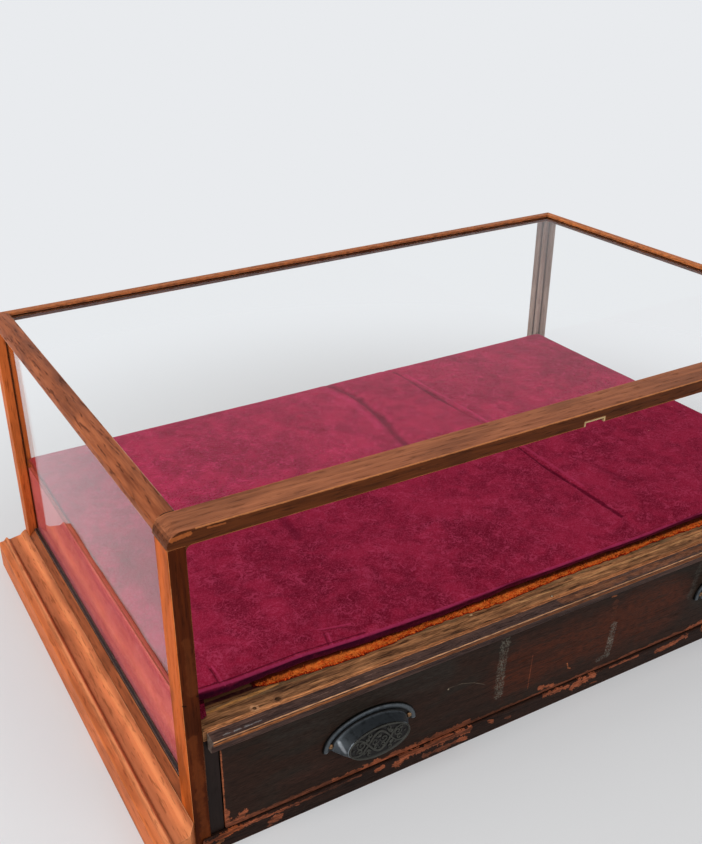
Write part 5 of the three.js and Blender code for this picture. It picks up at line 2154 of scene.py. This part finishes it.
    def build(self) -> None:
        """Builds the strip."""
        low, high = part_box("plush_strip")
        chance = random.Random(self.seed)
        shape = bmesh.new()
        self.mat(shape, low, high)
        left = self.edge[0][0] + 0.003
        for _ in range(self.clumps):
            x = left + (high.x - 0.004 - left) * chance.random()
            y = self.front_at(x) + 0.0006 + 0.0075 * chance.random() ** 1.6
            lump = 0.5 + 0.5 * noise.noise(Vector((x * 34, 1.0, 6.0)))
            size = 0.0006 + 0.0009 * chance.random() * (0.5 + lump)
            height = low.z + 0.0002 + 0.0007 * chance.random()
            self.clump(shape, Vector((x, y, height)), size, chance.uniform(0, math.pi))
        for _ in range(self.fibres):
            x = left + (high.x - 0.004 - left) * chance.random()
            lump = 0.5 + 0.5 * noise.noise(Vector((x * 30, 1.0, 6.0)))
            y = self.front_at(x) + 0.0012 + chance.random() ** 1.5 * 0.009
            size = self.fibre * (0.4 + 1.1 * chance.random() * (0.4 + lump))
            lean = Vector(
                (chance.uniform(-1, 1), chance.uniform(-1.1, 0.3), chance.uniform(0.02, 0.5))
            ).normalized()
            root = Vector((x, y, low.z + 0.0006 + 0.0010 * chance.random()))
            self.tuft(shape, root, lean, size)
        for x in self.tufts:
            self.stand_up(shape, x, low.z, chance)
        place_piece(
            "plush_trim", mesh_from("plush_trim", shape), Body.CASE,
            Finishes.plush, ["plush_strip"],
        )


@dataclass
class CupPull:
    """One cast-iron cup pull with its scrolled panel and brass screws.

    Attributes:
        side: the end of the drawer that it is on.
        rim: half the width of the back plate.
        rise: how far the back plate rises above its foot.
        foot: the height of its foot above the pull's lowest point.
        panel_width: half the width of the oval panel.
        panel_height: half its height.
        wrap: how far the cup reaches round the panel below its middle, in radians.
        wall: the thickness of the cup's wall; not used.
        steps: faces round the arch.
    """

    side: Side
    rim: float = 0.0558
    rise: float = 0.0348
    foot: float = 0.013
    panel_width: float = 0.0365
    panel_height: float = 0.0194
    wrap: float = 0.5
    wall: float = 0.0022
    steps: int = 72

    def __post_init__(self) -> None:
        """Reads the pull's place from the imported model."""
        low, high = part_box(f"cup_pull_{self.side.label}")
        self.middle = (low.x + high.x) / 2
        self.base = low.z
        self.back = high.y
        self.reach = high.y - low.y

    def spot(self, x: float, z: float, out: float) -> Vector:
        """A point of the pull.

        Args:
            x: its place across from the pull's middle.
            z: its height above the pull's lowest point.
            out: how far it stands off the drawer.

        Returns:
            The point in the model's axes.
        """
        return Vector((self.middle + x, self.back - out, self.base + z))

    def ring(self, inset: float, out: float, share: float, turn: float) -> Vector:
        """A point of the arched shell.

        Args:
            inset: how far inside the back plate's edge it is.
            out: how far it stands off the drawer.
            share: 0 for the shape of the arch, 1 for that of the oval panel.
            turn: the angle round the arch, from 0 to pi.

        Returns:
            The point.
        """
        arch = Vector((
            (self.rim - inset) * math.cos(turn), self.foot + (self.rise - inset) * math.sin(turn)
        ))
        sweep = -self.wrap + turn * (math.pi + 2 * self.wrap) / math.pi
        oval = Vector(
            (self.panel_width * math.cos(sweep), self.panel_height * (1 + math.sin(sweep)))
        )
        place = arch.lerp(oval, share)
        return self.spot(place.x, place.y, out)

    def shell(self, shape: bmesh.types.BMesh) -> None:
        """Adds the back plate with its rounded rim and the tapered cup.

        Args:
            shape: the shape that they go into.
        """
        # How far inside the plate's edge each ring lies, how far off the drawer it stands, and
        # its share of the panel's shape.
        outer = (
            (0.0, 0.0, 0.0), (0.0, 0.0014, 0.0), (0.0006, 0.0026, 0.0), (0.0018, 0.0034, 0.0),
            (0.0034, 0.0036, 0.0), (0.0050, 0.0031, 0.0), (0.0062, 0.0020, 0.0),
            (0.0076, 0.0016, 0.0), (0.0090, 0.0018, 0.0), (0.0100, 0.0030, 0.02),
            (0.0105, 0.0052, 0.08), (0.0108, 0.0090, 0.26), (0.0111, 0.0130, 0.5),
            (0.0114, 0.0165, 0.76), (0.0116, 0.0188, 0.94), (0.0118, 0.0200, 1.0),
        )
        inner = (
            (0.0150, 0.0190, 0.93), (0.0148, 0.0160, 0.7), (0.0143, 0.0120, 0.42),
            (0.0138, 0.0080, 0.16), (0.0132, 0.0040, 0.02), (0.0130, 0.0, 0.0),
        )
        rows = []
        for i in range(self.steps + 1):
            turn = math.pi * i / self.steps
            row = [self.ring(inset, out, share, turn) for inset, out, share in outer]
            row += [self.ring(inset, out, share, turn) for inset, out, share in inner]
            rows.append(row)
        tube(shape, rows)

    def panel(self, shape: bmesh.types.BMesh) -> None:
        """Adds the oval panel with its raised border.

        Args:
            shape: the shape that it goes into.
        """
        # How far inside the panel's edge each ring lies, and how far off the drawer it stands.
        rings = (
            (0.0004, 0.0178), (0.0, 0.0190), (0.0, 0.0203), (0.0004, 0.0210), (0.0010, 0.0212),
            (0.0015, 0.0209), (0.0019, 0.0201), (0.0022, 0.0192), (0.0027, 0.0189),
            (0.0090, 0.0189),
        )
        rows = []
        for inset, out in rings:
            row = []
            for i in range(self.steps):
                turn = math.tau * i / self.steps
                x = (self.panel_width - inset) * math.cos(turn)
                z = self.panel_height + (self.panel_height - inset) * math.sin(turn)
                row.append(self.spot(x, z, out))
            rows.append(row)
        tube(shape, rows)

    def ridge(
        self, shape: bmesh.types.BMesh, path: Sequence[tuple[float, float]], size: float
    ) -> None:
        """Adds a rounded ridge that tapers at its ends.

        Args:
            shape: the shape that it goes into.
            path: its points, across and up from the panel's middle.
            size: half its width.
        """
        ground = 0.0188
        rows = []
        for i, (x, z) in enumerate(path):
            before, after = path[max(0, i - 1)], path[min(len(path) - 1, i + 1)]
            way = Vector((after[0] - before[0], after[1] - before[1])).normalized()
            share = i / (len(path) - 1)
            width = size * (0.35 + 0.65 * math.sin(math.pi * min(1.0, 0.12 + share * 0.8)))
            row = []
            for step in range(5):
                angle = math.pi * step / 4
                aside = math.cos(angle) * width
                lift = math.sin(angle) * width * 1.35
                row.append(shape.verts.new(self.spot(
                    x - way.y * aside, self.panel_height + z + way.x * aside, ground + lift
                )))
            rows.append(row)
        for first, second in zip(rows, rows[1:]):
            for j in range(4):
                shape.faces.new((first[j], first[j + 1], second[j + 1], second[j]))
        for row in (rows[0], rows[-1][::-1]):
            shape.faces.new(row)

    def curl(
        self, shape: bmesh.types.BMesh, x: float, z: float, size: float, turns: float,
        start: float, way: int,
    ) -> None:
        """Adds a spiral scroll.

        Args:
            shape: the shape that it goes into.
            x: its middle across.
            z: its middle up.
            size: its radius.
            turns: how many turns it has.
            start: the angle that it starts at.
            way: 1 to turn left, -1 to turn right.
        """
        path = []
        for i in range(33):
            share = i / 32
            angle = start + way * math.tau * turns * share
            radius = size * (1 - 0.82 * share)
            path.append((x + radius * math.cos(angle), z + radius * math.sin(angle)))
        self.ridge(shape, path, 0.00120)

    def leaf(
        self, shape: bmesh.types.BMesh, x: float, z: float, angle: float, size: float
    ) -> None:
        """Adds a small pointed leaf.

        Args:
            shape: the shape that it goes into.
            x: where its stalk starts, across.
            z: where its stalk starts, up.
            angle: the way it points.
            size: its length.
        """
        path = []
        for i in range(9):
            share = i / 8
            bend = angle + 0.5 * share
            path.append((x + size * share * math.cos(bend), z + size * share * math.sin(bend)))
        self.ridge(shape, path, size * 0.28)

    def scrolls(self, shape: bmesh.types.BMesh) -> None:
        """Adds the scrolls and leaves of the panel.

        Args:
            shape: the shape that they go into.
        """
        for flip in (1, -1):
            wave = []
            for i in range(61):
                x = -0.0315 + 0.063 * i / 60
                swell = 1 - 0.32 * abs(x / 0.0315) ** 2
                wave.append((x, flip * 0.0125 * swell * math.cos(math.pi * x / 0.0265)))
            self.ridge(shape, wave, 0.00150)
        for way in (1, -1):
            self.curl(shape, way * 0.0215, 0.0030, 0.0052, 1.4, math.pi / 2 - way * 1.2, -way)
            self.curl(shape, way * 0.0235, -0.0048, 0.0036, 1.2, -math.pi / 2 + way * 1.2, way)
            self.curl(shape, way * 0.0052, 0.0012, 0.0046, 1.3, math.pi / 2 + way * 1.4, way)
            self.curl(shape, way * 0.0044, -0.0066, 0.0030, 1.1, -math.pi / 2 - way * 1.4, -way)
            for angle in (0.3, 1.0, 1.7):
                turn = angle if way > 0 else math.pi - angle
                self.leaf(shape, way * 0.0125, 0.0055, turn, 0.0050)
                self.leaf(shape, way * 0.0125, -0.0055, -turn, 0.0050)
            self.leaf(shape, way * 0.0290, 0.0, 0.0 if way > 0 else math.pi, 0.0034)
            self.curl(shape, way * 0.0108, 0.0118, 0.0030, 1.1, math.pi / 2 + way * 0.4, -way)
            self.curl(shape, way * 0.0120, -0.0124, 0.0027, 1.1, -math.pi / 2 - way * 0.4, way)
            for angle in (0.9, 1.7, 2.5):
                turn = angle if way > 0 else math.pi - angle
                self.leaf(shape, way * 0.0262, 0.0052, turn, 0.0034)
                self.leaf(shape, way * 0.0185, -0.0085, -turn, 0.0032)
        for angle in (-0.7, 0.0, 0.7):
            self.leaf(shape, 0.0, 0.0050, math.pi / 2 + angle, 0.0046)
            self.leaf(shape, 0.0, -0.0102, math.pi / 2 + angle, 0.0028)

    def screw(self, number: int) -> None:
        """Builds one slotted screw head.

        Args:
            number: 1 or 2.
        """
        node = f"cup_pull_screw_{self.side.label}_{number}"
        low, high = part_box(node)
        middle = (low + high) / 2
        radius = (high.x - low.x) / 2
        proud = high.y - low.y
        shape = bmesh.new()
        slot = radius * 0.13
        for way in (1, -1):
            part = bmesh.new()
            bmesh.ops.create_uvsphere(part, u_segments=28, v_segments=16, radius=1.0)
            for vertex in part.verts:
                x, y, z = vertex.co
                vertex.co = Vector((x * radius, -max(0.0, z) ** 0.8 * proud, y * radius))
            bmesh.ops.remove_doubles(part, verts=part.verts, dist=0.00001)
            cut = bmesh.ops.bisect_plane(
                part, geom=part.verts[:] + part.edges[:] + part.faces[:],
                plane_co=(way * slot, 0, 0), plane_no=(-way, 0, 0.0), clear_outer=True,
            )
            edges = [e for e in cut["geom_cut"] if isinstance(e, bmesh.types.BMEdge)]
            bmesh.ops.holes_fill(part, edges=edges, sides=0)
            scratch = bpy.data.meshes.new("half_head")
            part.to_mesh(scratch)
            part.free()
            shape.from_mesh(scratch)
            bpy.data.meshes.remove(scratch)
        disc = bmesh.ops.create_circle(shape, cap_ends=True, segments=28, radius=radius * 0.97)
        for vertex in disc["verts"]:
            vertex.co = Vector((vertex.co.x, -proud * 0.35, vertex.co.y))
        turn = Matrix.Rotation(0.9 + number * 1.3, 4, "Y")
        for vertex in shape.verts:
            vertex.co = turn @ vertex.co + Vector((middle.x, high.y, middle.z))
        mesh = bpy.data.meshes.new(node)
        shape.to_mesh(mesh)
        shape.free()
        place_piece(
            f"screw_head_{self.side.label}_{number}", mesh, Body.DRAWER,
            Finishes.brass, [node],
        )

    def build(self) -> None:
        """Builds the pull and its screws."""
        label = self.side.label
        shape = bmesh.new()
        self.shell(shape)
        place_piece(
            f"iron_pull_{label}", mesh_from("iron_pull", shape), Body.DRAWER,
            Finishes.iron, [f"cup_pull_{label}"],
        )
        relief = bmesh.new()
        self.panel(relief)
        self.scrolls(relief)
        place_piece(
            f"pull_panel_{label}", mesh_from("pull_panel", relief), Body.DRAWER,
            Finishes.relief,
        )
        for number in (1, 2):
            self.screw(number)


@dataclass
class Drawer(Assembly):
    """The drawer with its worn front and two cup pulls."""

    def build(self) -> None:
        """Dresses the drawer and builds its pulls."""
        self.dress(Finishes.drawer_front, "drawer_front")
        self.dress(Finishes.bare, "drawer_side_left", "drawer_side_right")
        crosswise = replace(Finishes.bare, name="bare_wood_cross", grain=Grain.ALONG_X)
        self.dress(crosswise, "drawer_back", "drawer_bottom")
        for side in Side:
            CupPull(side).build()


@dataclass
class CatchKeep:
    """The small brass keep under the front rail."""

    def build(self) -> None:
        """Dresses the keep."""
        dress(Finishes.keep, "catch_keep")


@dataclass
class Studio:
    """Floor, world, lamps and camera.

    Attributes:
        backdrop: the pale colour behind the cabinet.
        fill: how bright the world lights the cabinet.
        lens: the camera's focal length in millimetres, fitted to the photograph.
        shift: how far its picture is shifted to the right and up.
        eye: where it stands.
        turn: how it is turned, in degrees.
    """

    backdrop: Colour = paint(233, 235, 238)
    fill: float = 0.56
    lens: float = 43.328
    shift: tuple[float, float] = (0.0574, 0.0484)
    eye: Point = (-0.68119, -0.95515, 0.81713)
    turn: Point = (61.2829, 1.0512, -28.4801)

    def world(self) -> None:
        """Makes the pale world."""
        world = bpy.data.worlds.new("pale_room")
        bpy.context.scene.world = world
        world.use_nodes = True
        world.node_tree.nodes.clear()
        graph = Graph(world.node_tree)
        seen = graph.add("ShaderNodeBackground", {"Color": self.backdrop, "Strength": 1.0})
        soft = graph.add(
            "ShaderNodeBackground", {"Color": (1.0, 0.995, 0.985, 1.0), "Strength": self.fill}
        )
        share = self.seen_rays(graph)
        mixed = graph.add("ShaderNodeMixShader", {0: share, 1: soft.outputs[0], 2: seen.outputs[0]})
        output = graph.add("ShaderNodeOutputWorld")
        graph.feed(output.inputs["Surface"], mixed.outputs[0])

    def seen_rays(self, graph: Graph) -> Socket:
        """Picks the rays that see the backdrop.

        Args:
            graph: where the nodes go.

        Returns:
            1 for camera, glossy and transmission rays, and 0 for the others.
        """
        path = graph.add("ShaderNodeLightPath").outputs
        share = graph.math("MAXIMUM", path["Is Camera Ray"], path["Is Glossy Ray"])
        return graph.math("MAXIMUM", share, path["Is Transmission Ray"])

    def floor(self) -> None:
        """Lays the floor, which turns into the backdrop away from the cabinet."""
        shape = bmesh.new()
        bmesh.ops.create_grid(shape, x_segments=8, y_segments=8, size=30.0)
        mesh = mesh_from("floor", shape)
        material = bpy.data.materials.new("pale_floor")
        material.use_nodes = True
        material.node_tree.nodes.clear()
        graph = Graph(material.node_tree)
        place = graph.add("ShaderNodeTexCoord").outputs["Object"]
        lit = graph.add("ShaderNodeBsdfDiffuse", {"Color": paint(226, 226, 227)})
        glow = graph.add("ShaderNodeEmission", {"Color": self.backdrop, "Strength": 1.0})
        far = graph.smooth(graph.vector("LENGTH", place), 0.5, 1.1)
        share = graph.math("MULTIPLY", graph.math("MULTIPLY_ADD", far, 0.75, 0.25),
                           self.seen_rays(graph))
        mixed = graph.add("ShaderNodeMixShader", {0: share, 1: lit.outputs[0], 2: glow.outputs[0]})
        output = graph.add("ShaderNodeOutputMaterial")
        graph.feed(output.inputs["Surface"], mixed.outputs[0])
        mesh.materials.append(material)
        floor = bpy.data.objects.new("studio_floor", mesh)
        bpy.context.scene.collection.objects.link(floor)

    def lamp(self, name: str, place: Point, aim: Point, size: float, power: float) -> None:
        """Hangs a soft lamp.

        Args:
            name: the lamp's name.
            place: where it hangs.
            aim: the point that it shines at.
            size: the width of its face.
            power: its power in watts.
        """
        light = bpy.data.lights.new(name, "AREA")
        light.shape = "DISK"
        light.size = size
        light.energy = power
        lamp = bpy.data.objects.new(name, light)
        way = Vector(aim) - Vector(place)
        turn = way.to_track_quat("-Z", "Y").to_matrix().to_4x4()
        lamp.matrix_world = Matrix.Translation(place) @ turn
        bpy.context.scene.collection.objects.link(lamp)

    def camera(self) -> None:
        """Sets the camera at the photograph's viewpoint."""
        data = bpy.data.cameras.new("viewpoint")
        data.lens = self.lens
        data.sensor_width = data.sensor_height = 36.0
        data.shift_x, data.shift_y = self.shift
        camera = bpy.data.objects.new("viewpoint", data)
        camera.location = self.eye
        camera.rotation_euler = [math.radians(angle) for angle in self.turn]
        bpy.context.scene.collection.objects.link(camera)
        bpy.context.scene.camera = camera

    def build(self) -> None:
        """Makes the studio."""
        self.world()
        self.floor()
        self.lamp("window_light", (-2.6, -0.6, 1.9), (0.0, 0.0, 0.1), 1.5, 43.0)
        self.lamp("front_light", (0.9, -2.6, 2.2), (0.0, 0.0, 0.1), 1.6, 13.0)
        self.camera()
        bpy.context.scene.view_settings.view_transform = "Standard"
        LOG.info("studio ready")


def main() -> None:
    """Builds the cabinet's looks piece by piece."""
    logging.basicConfig(level=logging.INFO, format="%(name)s: %(message)s")
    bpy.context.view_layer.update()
    Studio().build()
    TimberFrame().build()
    Panes().build()
    Base().build()
    Housing().build()
    Ledge().build()
    DisplayBed().build()
    PlushTrim().build()
    Drawer().build()
    CatchKeep().build()


if __name__ == "__main__":
    main()
